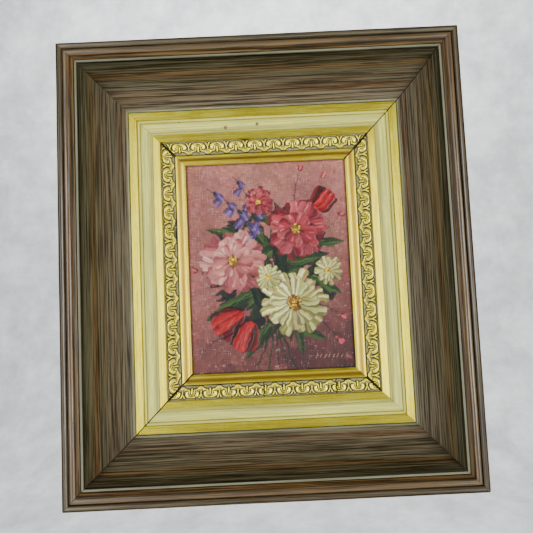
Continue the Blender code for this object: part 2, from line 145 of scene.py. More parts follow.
def new_material(name):
    """An empty node material with a Principled shader, and its tree."""
    made = bpy.data.materials.new(name)
    made.use_nodes = True
    return made, made.node_tree, made.node_tree.nodes["Principled BSDF"]


def object_noise(tree, scale, detail, roughness=0.5):
    """Noise on Object coordinates, the same in every direction."""
    coords = put(tree, "ShaderNodeTexCoord").outputs["Object"]
    feeds = {"Vector": coords, "Scale": scale, "Detail": detail, "Roughness": roughness}
    return put(tree, "ShaderNodeTexNoise", feeds).outputs["Fac"]


def ramp(tree, factor, stops):
    """A colour ramp with the given stops: (place, colour), the colour as a grey or as three numbers."""
    made = put(tree, "ShaderNodeValToRGB", {"Fac": factor})
    while len(made.color_ramp.elements) < len(stops):
        made.color_ramp.elements.new(0.5)
    for element, (place, colour) in zip(made.color_ramp.elements, stops):
        element.position = place
        shade = (colour,) * 3 if isinstance(colour, (int, float)) else colour
        element.color = (*shade, 1.0)
    return made.outputs["Color"]


def mottle(tree, scale, low, high, detail, roughness=0.5):
    """Noise on Object coordinates, as a colour between two colours."""
    return ramp(tree, object_noise(tree, scale, detail, roughness), [(0.35, low), (0.65, high)])


def mesh_from(bm, name):
    """Turns a finished bmesh into a mesh."""
    mesh = bpy.data.meshes.new(name)
    bm.to_mesh(mesh)
    bm.free()
    return mesh


def add_floor():
    """One curved sheet: the floor, a quarter-round sweep and the wall."""
    floor = CENTRE.z - FLOOR_DROP
    line = [(ROOM_FRONT, floor)]
    for i in range(SWEEP_STEPS + 1):
        angle = math.pi / 2 * i / SWEEP_STEPS
        back = WALL_BEHIND - SWEEP_RADIUS * (1 - math.sin(angle))
        line.append((back, floor + SWEEP_RADIUS * (1 - math.cos(angle))))
    line.append((WALL_BEHIND, floor + ROOM_HEIGHT))
    bm = bmesh.new()
    left = [bm.verts.new((-ROOM_HALF_WIDTH, y, z)) for y, z in line]
    right = [bm.verts.new((ROOM_HALF_WIDTH, y, z)) for y, z in line]
    for i in range(len(line) - 1):
        bm.faces.new((left[i], right[i], right[i + 1], left[i + 1])).smooth = True
    mesh = mesh_from(bm, "floor")
    floor_paint, tree, shader = new_material("pale floor")
    plaster = mottle(tree, 9.0, (0.58, 0.61, 0.62), (0.90, 0.91, 0.92), 7.0, 0.68)
    tree.links.new(plaster, shader.inputs["Base Color"])
    shader.inputs["Roughness"].default_value = 0.8
    mesh.materials.append(floor_paint)
    made = add_object("floor", mesh)
    return made


add_floor()
print("floor and wall in one sheet")

# %% [markdown]
# Two tall windows far to the right and the left light the moulding from the side, so that the upright beads
# and the brushed gilding of the upright rails shine and the level ones do not. A light behind the frame keeps
# the wall bright, and a pale world fills the shadows.

# %% Lights
def add_light(name, place, size, power, colour=(1.0, 1.0, 1.0), aim=(0.0, 0.0, 0.0)):
    """A soft light of a given width and height that points at a place, both given from the frame's middle."""
    data = bpy.data.lights.new(name, "AREA")
    data.shape = "RECTANGLE"
    data.size, data.size_y = size
    data.energy = power
    data.color = colour
    made = add_object(name, data)
    made.location = CENTRE + Vector(place)
    made.rotation_euler = (Vector(aim) - Vector(place)).to_track_quat("-Z", "Y").to_euler()
    return made


def add_world(strength, colour):
    world = bpy.data.worlds.new("pale room")
    world.use_nodes = True
    background = world.node_tree.nodes["Background"]
    background.inputs["Color"].default_value = (*colour, 1.0)
    background.inputs["Strength"].default_value = strength
    bpy.context.scene.world = world


add_light("window right", (1.20, -1.45, -0.22), (0.6, 1.6), 46.0, (1.0, 0.985, 0.95))
add_light("window left", (-1.15, -1.40, 0.05), (0.6, 1.6), 29.0, (0.97, 0.985, 1.0))
add_light("wall light", (0.0, 0.50, 1.5), (1.8, 0.3), 36.0, aim=(0.0, WALL_BEHIND, 0.2))
add_world(0.34, (0.93, 0.97, 1.0))
print("two windows, a wall light and a pale world")

# %% [markdown]
# ## The moulding's section
#
# A real frame like this is milled in one piece: a double bead at the outer edge, a deep cove, and small steps
# down to the picture. So one section is written once, as stretches that each carry their finish. Rounded
# stretches are arcs from a formula. The solids use the same sizes with fewer steps.

# %% Sizes of the moulding
OUTER_BEAD, OUTER_BEAD_RISE = 0.0032, 0.0017
CAP_QUIRK = 0.0004
INNER_BEAD, INNER_BEAD_RISE = 0.0034, 0.0015
CAP_SLOPE, CAP_SLOPE_DROP = 0.0016, 0.0010
FILLET = 0.0014
QUIRK_DEPTH = 0.0007
COVE, COVE_SAGITTA = 0.0160, 0.0026
COVE_EDGE, COVE_EDGE_DROP = 0.0006, 0.0011
GILT_QUIRK = 0.0006
OUTER_GILT = 0.0041
CREAM_BEAD, CREAM_BEAD_RISE = 0.0016, 0.0006
CREAM_TORUS, CREAM_TORUS_RISE = 0.0056, 0.0010
CREAM_LISTEL = 0.0014
INNER_GILT = 0.0038
BAND = 0.0081
LIP_OUTER_BEAD, LIP_HOLLOW, LIP_INNER_BEAD, SIGHT_ROUND = 0.0013, 0.0020, 0.0016, 0.0005
COVE_FOOT_HEIGHT = 0.0152
OUTER_GILT_HEIGHT, CREAM_HEIGHT, INNER_GILT_HEIGHT = 0.0145, 0.0130, 0.0125
BAND_OUTER_HEIGHT, BAND_INNER_HEIGHT = 0.0113, 0.0090
LIP_HEIGHT, LIP_HOLLOW_DEPTH = 0.0103, 0.0006
RABBET_DEPTH, RABBET_WIDTH = 0.0080, 0.0042
STRIP_THICKNESS, SEAT_GAP = 0.0006, 0.0003
QUIRK_ANGLE = 15.0
FILLET_BARE = 0.0004

LIP_AT = RAIL_WIDTH - (LIP_OUTER_BEAD + LIP_HOLLOW + LIP_INNER_BEAD + SIGHT_ROUND)
BAND_AT = LIP_AT - BAND
INNER_GILT_AT = BAND_AT - INNER_GILT
CREAM_AT = INNER_GILT_AT - (CREAM_BEAD + CREAM_TORUS + CREAM_LISTEL)
OUTER_GILT_AT = CREAM_AT - OUTER_GILT
COVE_END = OUTER_GILT_AT - GILT_QUIRK - COVE_EDGE
COVE_AT = COVE_END - COVE
RAW, CAP, BEAD, COVED, SAGE, CREAM, GILT = range(7)
print(f"the cove starts {COVE_AT:.4f} m in, the cream steps {CREAM_AT:.4f}, the ornament {BAND_AT:.4f}")

# %% [markdown]
# A short arc of few points looks faceted up close, so each stretch is cut into steps of its own length: fine
# where the light plays on it, coarse on the back and in the rabbet.

# %% The section, from stretches
FINE_STEP = 0.00028
COARSE_STEP = 0.004


def bead(start, width, base, rise, first=180.0, last=0.0):
    """A rounded bead from `start`, on a base height, between two angles, as close points."""
    middle = start + width / 2
    count = max(6, round(math.pi * width / 2 / FINE_STEP))
    angles = [math.radians(first + (last - first) * i / count) for i in range(count + 1)]
    return [(middle + width / 2 * math.cos(a), base + rise * math.sin(a)) for a in angles]


def hollow(start, end, sagitta):
    """A shallow hollow between two points, sunk by `sagitta` towards the back of the moulding."""
    first, last = Vector(start), Vector(end)
    chord = last - first
    inward = Vector((chord.y, -chord.x)).normalized()
    if inward.y > 0:
        inward.negate()
    radius = chord.length**2 / (8 * sagitta) + sagitta / 2
    half_angle = math.asin(chord.length / 2 / radius)
    count = round(chord.length / FINE_STEP)
    points = []
    for i in range(count + 1):
        angle = half_angle * (2 * i / count - 1)
        along = chord.normalized() * (radius * math.sin(angle))
        sunk = inward * (radius * math.cos(angle) - radius * math.cos(half_angle))
        points.append(tuple((first + last) / 2 + along + sunk))
    return points


def moulding_stretches():
    """The whole section as (finish, step, points), each stretch starting where the last one ends."""
    outer_base = CAP_HEIGHT - OUTER_BEAD_RISE
    inner_at = OUTER_BEAD + CAP_QUIRK
    inner_base = CAP_HEIGHT - INNER_BEAD_RISE
    slope_end = inner_at + INNER_BEAD + CAP_SLOPE
    slope_foot = inner_base - CAP_SLOPE_DROP
    fillet_top = slope_foot + QUIRK_DEPTH / 2
    fillet_end = slope_end + FILLET
    quirk_foot = fillet_top - QUIRK_DEPTH
    edge_end = COVE_END + COVE_EDGE
    edge_foot = COVE_FOOT_HEIGHT - COVE_EDGE_DROP
    torus_base = CREAM_HEIGHT - QUIRK_DEPTH
    torus_at = CREAM_AT + CREAM_BEAD
    bed_drop = STRIP_THICKNESS + SEAT_GAP
    hollow_at = LIP_AT + LIP_OUTER_BEAD
    inner_bead_at = hollow_at + LIP_HOLLOW
    lip_base = LIP_HEIGHT - LIP_HOLLOW_DEPTH
    cap = bead(0.0, OUTER_BEAD, outer_base, OUTER_BEAD_RISE, last=QUIRK_ANGLE)
    cap += [(OUTER_BEAD, outer_base - QUIRK_DEPTH), (inner_at, outer_base - QUIRK_DEPTH)]
    inner = bead(inner_at, INNER_BEAD, inner_base, INNER_BEAD_RISE, first=180.0 - QUIRK_ANGLE)
    slope = [(slope_end, slope_foot), (slope_end, fillet_top), (slope_end + FILLET_BARE, fillet_top)]
    torus = bead(torus_at, CREAM_TORUS, torus_base, CREAM_TORUS_RISE, 180.0 - QUIRK_ANGLE, QUIRK_ANGLE)
    listel_at = torus_at + CREAM_TORUS
    cream = bead(CREAM_AT, CREAM_BEAD, CREAM_HEIGHT, CREAM_BEAD_RISE) + torus
    cream += [(listel_at, torus_base), (INNER_GILT_AT, torus_base - CREAM_BEAD_RISE)]
    lip = bead(LIP_AT, LIP_OUTER_BEAD, lip_base, LIP_HOLLOW_DEPTH)
    lip += hollow(lip[-1], (inner_bead_at, lip_base), LIP_HOLLOW_DEPTH)
    lip += bead(inner_bead_at, LIP_INNER_BEAD, lip_base, LIP_HOLLOW_DEPTH)
    lip += [(RAIL_WIDTH, lip_base - SIGHT_ROUND)]
    wood_end = RAIL_WIDTH - RABBET_WIDTH
    return [
        (CAP, COARSE_STEP, [(0.0, 0.0), (0.0, outer_base)]),
        (CAP, FINE_STEP, cap),
        (BEAD, FINE_STEP, inner),
        (CAP, FINE_STEP, slope),
        (SAGE, FINE_STEP, [(slope_end + FILLET_BARE, fillet_top), (fillet_end, fillet_top)]),
        (CAP, FINE_STEP, [(fillet_end, quirk_foot), (COVE_AT, quirk_foot)]),
        (COVED, FINE_STEP, hollow((COVE_AT, quirk_foot), (COVE_END, COVE_FOOT_HEIGHT), COVE_SAGITTA)),
        (SAGE, FINE_STEP, [(COVE_END, COVE_FOOT_HEIGHT), (edge_end, edge_foot)]),
        (CAP, FINE_STEP, [(edge_end, edge_foot - QUIRK_DEPTH), (OUTER_GILT_AT, edge_foot - QUIRK_DEPTH)]),
        (GILT, FINE_STEP, [(OUTER_GILT_AT, OUTER_GILT_HEIGHT), (CREAM_AT, OUTER_GILT_HEIGHT)]),
        (CREAM, FINE_STEP, cream),
        (GILT, FINE_STEP, [(INNER_GILT_AT, INNER_GILT_HEIGHT), (BAND_AT, INNER_GILT_HEIGHT)]),
        (CAP, COARSE_STEP, [(BAND_AT, BAND_OUTER_HEIGHT - bed_drop), (LIP_AT, BAND_INNER_HEIGHT - bed_drop)]),
        (GILT, FINE_STEP, lip),
        (RAW, COARSE_STEP, [(RAIL_WIDTH, RABBET_DEPTH), (wood_end, RABBET_DEPTH), (wood_end, 0.0)]),
        (RAW, COARSE_STEP, [(0.0, 0.0)]),
    ]


def fine_section():
    """Arrays along the section: places (in, up), the finish after each, and the length so far."""
    places, finishes = [], []
    last = None
    for finish, step, points in moulding_stretches():
        for point in points:
            point = np.array(point)
            if last is not None:
                span = np.linalg.norm(point - last)
                if span < 1e-7:
                    finishes[-1] = finish
                    continue
                pieces = max(1, math.ceil(span / step))
                for i in range(1, pieces):
                    places.append(last + (point - last) * i / pieces)
                    finishes.append(finishes[-1])
            places.append(point)
            finishes.append(finish)
            last = point
    places = np.array(places)
    lengths = np.concatenate([[0.0], np.cumsum(np.linalg.norm(np.diff(places, axis=0), axis=1))])
    return places, np.array(finishes), lengths


SECTION, FINISHES, LENGTHS = fine_section()
print(len(SECTION), "points round the section,", round(LENGTHS[-1] * 1000), "mm of outline")

# %% [markdown]
# Brushing and handling wear a moulding unevenly: glaze stays in the hollows and is rubbed off the ridges.
# The hollows are also darkened as painted shade.
# Both follow from the section itself. A point that lies below the average of its neighbours is in a hollow,
# and one above it is on a ridge.

# %% Ridges, hollows and outward directions of the section
RECESS_REACH = 0.0012
RECESS_FULL = 0.00035


def section_normals(places):
    """The direction out of the wood at each place, as (in, up)."""
    ahead, behind = np.roll(places, -1, axis=0), np.roll(places, 1, axis=0)
    ahead[-1], behind[0] = places[-1], places[0]
    along = ahead - behind
    out = np.stack([-along[:, 1], along[:, 0]], axis=1)
    return out / np.maximum(np.linalg.norm(out, axis=1, keepdims=True), 1e-9)


def section_recess(places, lengths, normals):
    """How far each place lies below its neighbours' average: 1 in a deep quirk, -1 on a sharp ridge."""
    near = np.exp(-(((lengths[:, None] - lengths[None, :]) / RECESS_REACH) ** 2))
    share = np.gradient(lengths)
    near *= share[None, :]
    average = near @ places / near.sum(axis=1, keepdims=True)
    return np.clip(((average - places) * normals).sum(axis=1) / RECESS_FULL, -1.0, 1.0)


OUTWARD = section_normals(SECTION)
RECESS = section_recess(SECTION, LENGTHS, OUTWARD)
print("deepest hollow", round(RECESS.max(), 2), "sharpest ridge", round(RECESS.min(), 2))

# %% [markdown]
# ## A rail grown by Geometry Nodes
#
# A rail could be extruded by hand and cut on its mitres. A node tree says the rule once instead: sweep the
# section along a line, pull each end out or in so that it lies on the mitre, and press the grain into the
# cove. The tree's named inputs are the sizes that differ from rail to rail.

# %% Helpers for node trees
TREE_SOCKETS = {
    "float": "NodeSocketFloat",
    "count": "NodeSocketInt",
    "finish": "NodeSocketMaterial",
}


def new_tree(name, sizes):
    """A Geometry Nodes tree with a geometry input and output, and named inputs for its sizes."""
    tree = bpy.data.node_groups.new(name, "GeometryNodeTree")
    tree.interface.new_socket("Geometry", in_out="INPUT", socket_type="NodeSocketGeometry")
    for label, kind in sizes.items():
        tree.interface.new_socket(label, in_out="INPUT", socket_type=TREE_SOCKETS[kind])
    tree.interface.new_socket("Geometry", in_out="OUTPUT", socket_type="NodeSocketGeometry")
    return tree, put(tree, "NodeGroupInput").outputs


def maths(tree, operation, first, second=0.0, third=0.0):
    return put(tree, "ShaderNodeMath", {0: first, 1: second, 2: third}, operation=operation).outputs[0]


def vector_maths(tree, operation, first, second):
    return put(tree, "ShaderNodeVectorMath", {0: first, 1: second}, operation=operation).outputs["Vector"]


def carried(tree, name):
    """A number that the section's points brought with them."""
    made = put(tree, "GeometryNodeInputNamedAttribute", {"Name": name}, data_type="FLOAT")
    return made.outputs["Attribute"]


def grown(name, mesh, tree, sizes):
    """Runs a tree on a mesh with its inputs set by name, and returns the result as a plain mesh."""
    holder = add_object(name, mesh)
    run = holder.modifiers.new(tree.name, "NODES")
    run.node_group = tree
    for item in tree.interface.items_tree:
        if item.in_out == "INPUT" and item.name in sizes:
            run[item.identifier] = sizes[item.name]
    evaluated = holder.evaluated_get(bpy.context.evaluated_depsgraph_get())
    result = bpy.data.meshes.new_from_object(evaluated)
    result.name = name
    holder.modifiers.clear()
    bpy.data.objects.remove(holder)
    return result


def store(tree, geometry, name, value, kind, domain):
    """Keeps a value on the geometry under a name, and returns the geometry."""
    feeds = {"Geometry": geometry, "Name": name}
    made = put(tree, "GeometryNodeStoreNamedAttribute", feeds, data_type=kind, domain=domain)
    tree.links.new(value, made.inputs["Value"])
    return made.outputs["Geometry"]


def end_tree(tree, geometry, finish):
    """The last two steps of every tree: real geometry in place of copies, and a material on it."""
    real = put(tree, "GeometryNodeRealizeInstances", {"Geometry": geometry}).outputs["Geometry"]
    faced = put(tree, "GeometryNodeSetMaterial", {"Geometry": real, "Material": finish}).outputs["Geometry"]
    output = put(tree, "NodeGroupOutput")
    tree.links.new(faced, output.inputs["Geometry"])


print("a tree can be given a", ", a ".join(TREE_SOCKETS))

# %% [markdown]
# Each real rail is sawn at 45 degrees at both ends. In the tree a line from -1 to 1 is swept with the section,
# and every point is then moved: along the rail up to the mitre, and in or out by the grain. Open joints part
# from the front, so their gap grows with the height and with the way in.

# %% The tree that sweeps a rail
MITRE_GAP = 0.00012
GAP_CLOSED_BELOW, GAP_OPEN_ABOVE = 0.002, 0.009
GRAIN_ALONG, GRAIN_ACROSS = 26.0, 1350.0
WAVES_ALONG, WAVES_ACROSS = 14.0, 260.0
SHEET_WIDTH = 0.94
WELD = 1e-6


def rail_tree():
    floats = ("Half length", "Half across", "Left gap", "Right gap", "Grain depth", "Board")
    sizes = {**dict.fromkeys(floats, "float"), "Pieces along": "count", "Finish": "finish"}
    tree, given = new_tree("swept rail", sizes)
    outline = put(tree, "GeometryNodeMeshToCurve", {"Mesh": given["Geometry"]}).outputs["Curve"]
    line = put(tree, "GeometryNodeCurvePrimitiveLine", {"Start": (-1.0, 0.0, 0.0), "End": (1.0, 0.0, 0.0)})
    count = maths(tree, "ADD", given["Pieces along"], 1.0)
    steps = put(tree, "GeometryNodeResampleCurve", {"Curve": line.outputs["Curve"], "Count": count})
    swept = put(tree, "GeometryNodeCurveToMesh", {"Curve": steps.outputs["Curve"], "Profile Curve": outline})
    place = put(tree, "GeometryNodeInputPosition").outputs["Position"]
    share = put(tree, "ShaderNodeSeparateXYZ", {"Vector": place}).outputs["X"]
    inward, up, across = (carried(tree, name) for name in ("inward", "up", "across"))

    opening = put(
        tree,
        "ShaderNodeMapRange",
        {"Value": up, "From Min": GAP_CLOSED_BELOW, "From Max": GAP_OPEN_ABOVE},
        interpolation_type="SMOOTHSTEP",
    ).outputs["Result"]
    depth_in = maths(tree, "MULTIPLY", maths(tree, "DIVIDE", inward, RAIL_WIDTH), opening)
    reaches = []
    for gap in ("Left gap", "Right gap"):
        wider = maths(tree, "MULTIPLY", maths(tree, "SUBTRACT", given[gap], MITRE_GAP), depth_in)
        half_gap = maths(tree, "DIVIDE", maths(tree, "ADD", wider, MITRE_GAP), math.sqrt(2))
        to_mitre = maths(tree, "SUBTRACT", given["Half length"], inward)
        reaches.append(maths(tree, "SUBTRACT", to_mitre, half_gap))
    on_right = maths(tree, "GREATER_THAN", share, 0.0)
    feeds = {"Factor": on_right, "A": reaches[0], "B": reaches[1]}
    reach = put(tree, "ShaderNodeMix", feeds).outputs["Result"]
    along = maths(tree, "MULTIPLY", share, reach)

    lay = put(tree, "ShaderNodeCombineXYZ", {"X": along, "Y": across, "Z": given["Board"]}).outputs["Vector"]
    grooves = []
    for along_scale, across_scale in ((GRAIN_ALONG, GRAIN_ACROSS), (WAVES_ALONG, WAVES_ACROSS)):
        scaled = vector_maths(tree, "MULTIPLY", lay, (along_scale, across_scale, 1.0))
        feeds = {"Vector": scaled, "Scale": 1.0, "Detail": 3.0}
        noise = put(tree, "ShaderNodeTexNoise", feeds).outputs["Fac"]
        grooves.append(maths(tree, "SUBTRACT", noise, 0.5))
    depth = maths(tree, "MULTIPLY", given["Grain depth"], carried(tree, "grain"))
    pressed = maths(tree, "MULTIPLY", maths(tree, "ADD", grooves[0], grooves[1]), depth)
    inward_now = maths(tree, "ADD", inward, maths(tree, "MULTIPLY", pressed, carried(tree, "out_in")))
    up_now = maths(tree, "ADD", up, maths(tree, "MULTIPLY", pressed, carried(tree, "out_up")))
    new_place = put(
        tree,
        "ShaderNodeCombineXYZ",
        {
            "X": along,
            "Y": maths(tree, "MULTIPLY", up_now, -1.0),
            "Z": maths(tree, "SUBTRACT", given["Half across"], inward_now),
        },
    ).outputs["Vector"]

    kept = store(tree, swept.outputs["Mesh"], "lay", lay, "FLOAT_VECTOR", "POINT")
    kept = store(tree, kept, "groove", pressed, "FLOAT", "POINT")
    sheet_u = maths(tree, "MULTIPLY_ADD", share, SHEET_WIDTH / 2, SHEET_WIDTH / 2)
    sheet = put(tree, "ShaderNodeCombineXYZ", {"X": sheet_u, "Y": maths(tree, "DIVIDE", across, LENGTHS[-1])})
    kept = store(tree, kept, "OFBake", sheet.outputs["Vector"], "FLOAT2", "CORNER")
    feeds = {"Geometry": kept, "Position": new_place}
    moved = put(tree, "GeometryNodeSetPosition", feeds).outputs["Geometry"]
    feeds = {"Geometry": moved, "Distance": WELD}
    closed = put(tree, "GeometryNodeMergeByDistance", feeds).outputs["Geometry"]
    smooth = put(tree, "GeometryNodeSetShadeSmooth", {0: closed}).outputs[0]
    end_tree(tree, smooth, given["Finish"])
    return tree


RAIL_TREE = rail_tree()
print("the rail's tree has", len(RAIL_TREE.nodes), "nodes")

# %% [markdown]
# The tree starts from the bare outline, a flat wire of points that carry their numbers: how far in, how high,
# which way is out, and how much grain shows there. The wire has to be flat: any depth in it would shift the
# sweep along the rail and open the mitres. Brushing raised the grain in the cove most, a little on the cap,
# and hardly at all under the paint and gilding.

# %% The outline that the tree sweeps
GRAIN_SHOWN = {RAW: 0.0, CAP: 0.45, BEAD: 0.30, COVED: 1.0, SAGE: 0.25, CREAM: 0.10, GILT: 0.08}


def keep_numbers(mesh, name, values):
    """Keeps one number for every point of a mesh under a name."""
    kept = mesh.attributes.new(name, "FLOAT", "POINT")
    kept.data.foreach_set("value", values.ravel().astype(np.float32))


def outline_mesh():
    """The section as a wire, with its numbers on its points."""
    mesh = bpy.data.meshes.new("outline")
    wire = [(i, i + 1) for i in range(len(SECTION) - 1)]
    mesh.from_pydata([(inward, up, 0.0) for inward, up in SECTION], wire, [])
    numbers = {
        "inward": SECTION[:, 0],
        "up": SECTION[:, 1],
        "out_in": OUTWARD[:, 0],
        "out_up": OUTWARD[:, 1],
        "across": LENGTHS,
        "recess": RECESS,
        "grain": np.array([GRAIN_SHOWN[finish] for finish in FINISHES]),
    }
    numbers["grain"][[0, -1]] = 0.0
    for name, values in numbers.items():
        keep_numbers(mesh, name, values)
    return mesh


print("outline ready, grain on", int((FINISHES == COVED).sum()), "points of the cove")

# %% [markdown]
# ## Wood, paint and gilding
#
# The finishes follow the rail, not the room: each reads the rail's own lengthwise and crosswise measure,
# `lay`, so the streaks run along every rail and meet at the mitres. `recess` says where glaze collects and
# shade is painted in, and where glaze is rubbed off.

# %% Helpers for the finishes
BOARD_STEP = 3.7


def colour_mix(tree, factor, under, over, how="MIX"):
    """One colour over another, by a factor from 0 to 1."""
    made = tree.nodes.new("ShaderNodeMix")
    made.data_type = "RGBA"
    made.blend_type = how
    for place, value in ((0, factor), (6, under), (7, over)):
        if isinstance(value, bpy.types.NodeSocket):
            tree.links.new(value, made.inputs[place])
        elif place == 0:
            made.inputs[0].default_value = value
        else:
            made.inputs[place].default_value = (*value, 1.0)
    return made.outputs[2]


def number(tree, name):
    """A number kept on the mesh."""
    return put(tree, "ShaderNodeAttribute", attribute_name=name).outputs["Fac"]


def between(tree, value, low, high, start=0.0, end=1.0):
    """A number rescaled smoothly from low..high to start..end."""
    return put(
        tree,
        "ShaderNodeMapRange",
        {"Value": value, "From Min": low, "From Max": high, "To Min": start, "To Max": end},
        interpolation_type="SMOOTHSTEP",
    ).outputs["Result"]


def stretched_noise(tree, place, scales, detail, roughness=0.5, distortion=0.0):
    """Noise on a place whose three measures are scaled each by its own number."""
    scaled = put(tree, "ShaderNodeMapping", {"Vector": place, "Scale": scales}).outputs["Vector"]
    feeds = {"Vector": scaled, "Scale": 1.0, "Detail": detail}
    feeds |= {"Roughness": roughness, "Distortion": distortion}
    return put(tree, "ShaderNodeTexNoise", feeds).outputs["Fac"]


def lay_of(tree):
    """Where a place lies on its own rail: along it, across its section, and which board it is."""
    return put(tree, "ShaderNodeAttribute", attribute_name="lay").outputs["Vector"]


def laid_noise(tree, along, across, detail=4.0, roughness=0.6, distortion=0.0):
    """Noise stretched along the rail: so many cycles a metre along it and across it."""
    scales = (along, across, BOARD_STEP)
    return stretched_noise(tree, lay_of(tree), scales, detail, roughness, distortion)


def spots(tree, per_metre, size):
    """Small round specks: 1 in a speck, 0 outside."""
    coords = put(tree, "ShaderNodeTexCoord").outputs["Object"]
    cells = put(tree, "ShaderNodeTexVoronoi", {"Vector": coords, "Scale": per_metre})
    return between(tree, cells.outputs["Distance"], size, size * 0.5)


def relief(tree, shader, height, distance, strength):
    """Bumps as deep as `distance` at their fullest."""
    bump = put(tree, "ShaderNodeBump", {"Height": height, "Distance": distance, "Strength": strength})
    tree.links.new(bump.outputs["Normal"], shader.inputs["Normal"])


def length_at(finish, share):
    """The length round the section at a share of the way across the stretches of one finish."""
    there = np.flatnonzero(FINISHES == finish)
    first, last = LENGTHS[there[0]], LENGTHS[min(there[-1] + 1, len(LENGTHS) - 1)]
    return first + share * (last - first)


def share_at(finish, inward):
    """The share of the way across one finish of the place that lies so far in from the frame's edge."""
    place = LENGTHS[np.argmax(SECTION[:, 0] >= inward)]
    return (place - length_at(finish, 0.0)) / (length_at(finish, 1.0) - length_at(finish, 0.0))


def across_finish(tree, finish):
    """How far across the stretches of one finish a place lies: 0 at its outer edge, 1 at its inner edge."""
    across = put(tree, "ShaderNodeSeparateXYZ", {"Vector": lay_of(tree)}).outputs["Y"]
    ends = {"From Min": length_at(finish, 0.0), "From Max": length_at(finish, 1.0)}
    return put(tree, "ShaderNodeMapRange", {"Value": across, **ends}).outputs["Result"]


def toned(tree, colour, tones):
    """Darkens and tints a colour by where it lies across its finish."""
    shade = ramp(tree, across_finish(tree, tones[0]), tones[1])
    return colour_mix(tree, 1.0, colour, shade, "MULTIPLY")


def darker(colour, share):
    return tuple(c * share for c in colour)


print(f"the cove runs from {length_at(COVED, 0.0):.4f} to {length_at(COVED, 1.0):.4f} m of the outline")

# %% [markdown]
# The cap and the cove are brushed wood, stained brown and glazed grey-green, and the glaze was wiped off the
# ridges. Each step is one layer of noise, far longer than it is wide. One function makes both woods and the
# bead between them, because only their colours and their polish differ.

# %% Stained wood: the cap and the cove
def stained_wood(name, dark, middle, pale, glaze, rub, tones, gloss=0.50, recess_darkening=0.6, shine=0.35):
    """Brown stain under a rubbed grey-green glaze: fine sharp grain, a few broad streaks, and edges and
    hollows darkened with painted shade and grime.
    """
    made, tree, shader = new_material(name)
    grain = laid_noise(tree, 11.0, 1050.0, 4.0, 0.65, 0.08)
    fine = laid_noise(tree, 30.0, 2100.0, 3.0, 0.6)
    streaks = laid_noise(tree, 5.0, 420.0, 3.0, 0.6, 0.1)
    bands = laid_noise(tree, 2.4, 170.0, 3.0, 0.5, 0.2)
    wood = ramp(tree, grain, [(0.43, dark), (0.50, middle), (0.58, pale)])
    wood = colour_mix(tree, between(tree, bands, 0.50, 0.62, 0.0, 0.55), wood, glaze)
    wood = colour_mix(tree, between(tree, streaks, 0.55, 0.63, 0.0, 0.65), wood, rub)
    wood = colour_mix(tree, between(tree, fine, 0.53, 0.61, 0.0, 0.7), wood, pale)
    wood = colour_mix(tree, between(tree, fine, 0.48, 0.38, 0.0, 0.9), wood, darker(dark, 0.45))
    recess = number(tree, "recess")
    # Painted shade with grime: the quirks and hollows are darkened towards dark brown; the ridges are rubbed
    # paler.
    wood = colour_mix(tree, between(tree, recess, 0.15, 0.9, 0.0, recess_darkening), wood, darker(dark, 0.6))
    wood = colour_mix(tree, between(tree, recess, -0.35, -0.9, 0.0, 0.35), wood, pale)
    tree.links.new(toned(tree, wood, tones), shader.inputs["Base Color"])
    tree.links.new(between(tree, grain, 0.3, 0.7, gloss + 0.12, gloss), shader.inputs["Roughness"])
    tone = ramp(tree, across_finish(tree, tones[0]), tones[1])
    polish = between(tree, recess, 0.05, -0.30, 0.12, shine)
    rubbed = maths(tree, "MULTIPLY", polish, between(tree, tone, 0.5, 1.0))
    tree.links.new(rubbed, shader.inputs["Specular IOR Level"])
    relief(tree, shader, maths(tree, "ADD", grain, fine), 0.00022 * gloss, 0.8)
    return made


# %% [markdown]
# Flat paint covers the wood with hardly any grain, and keeps the lines of the brush. The gilding is bronze
# powder: a metal whose brush lines run along the rail, so it is made anisotropic along the same direction.

# %% Rubbed paint and gilding
def stain_at(tree, along, across, board, radius):
    """A small round stain at one place on one rail, ragged at its edge."""
    feeds = {0: lay_of(tree), 1: (along, across, board)}
    off = put(tree, "ShaderNodeVectorMath", feeds, operation="DISTANCE").outputs["Value"]
    ragged = maths(tree, "MULTIPLY_ADD", laid_noise(tree, 1500.0, 1500.0, 2.0), radius * 0.8, off)
    return between(tree, ragged, radius * 1.5, radius * 0.9)


def rubbed_paint(name, colour, worn, glaze, speck, tones, stains=()):
    """Flat paint with brush lines along the rail, glaze and painted shade in the quirks, and a few specks of
    grime.
    """
    made, tree, shader = new_material(name)
    brushed = laid_noise(tree, 24.0, 1300.0, 4.0, 0.65)
    clouds = laid_noise(tree, 40.0, 220.0, 4.0, 0.65)
    paint = colour_mix(tree, between(tree, brushed, 0.44, 0.58), darker(colour, 0.66), colour)
    paint = colour_mix(tree, between(tree, clouds, 0.48, 0.66, 0.0, 0.7), paint, worn)
    recess = number(tree, "recess")
    # Painted shade with glaze: the quirks are darkened towards the glaze colour; the ridges are rubbed paler.
    paint = colour_mix(tree, between(tree, recess, 0.06, 0.70, 0.0, 0.65), paint, glaze)
    paint = colour_mix(tree, between(tree, recess, -0.30, -0.90, 0.0, 0.35), paint, darker(colour, 1.15))
    paint = toned(tree, paint, tones)
    marks = maths(tree, "MULTIPLY", spots(tree, 420.0, 0.13), 0.7)
    for along, share, board, radius in stains:
        stain = stain_at(tree, along, length_at(tones[0], share), board, radius)
        marks = maths(tree, "MAXIMUM", marks, stain)
    paint = colour_mix(tree, marks, paint, speck)
    tree.links.new(paint, shader.inputs["Base Color"])
    shader.inputs["Roughness"].default_value = 0.5
    relief(tree, shader, brushed, 0.00008, 0.7)
    return made


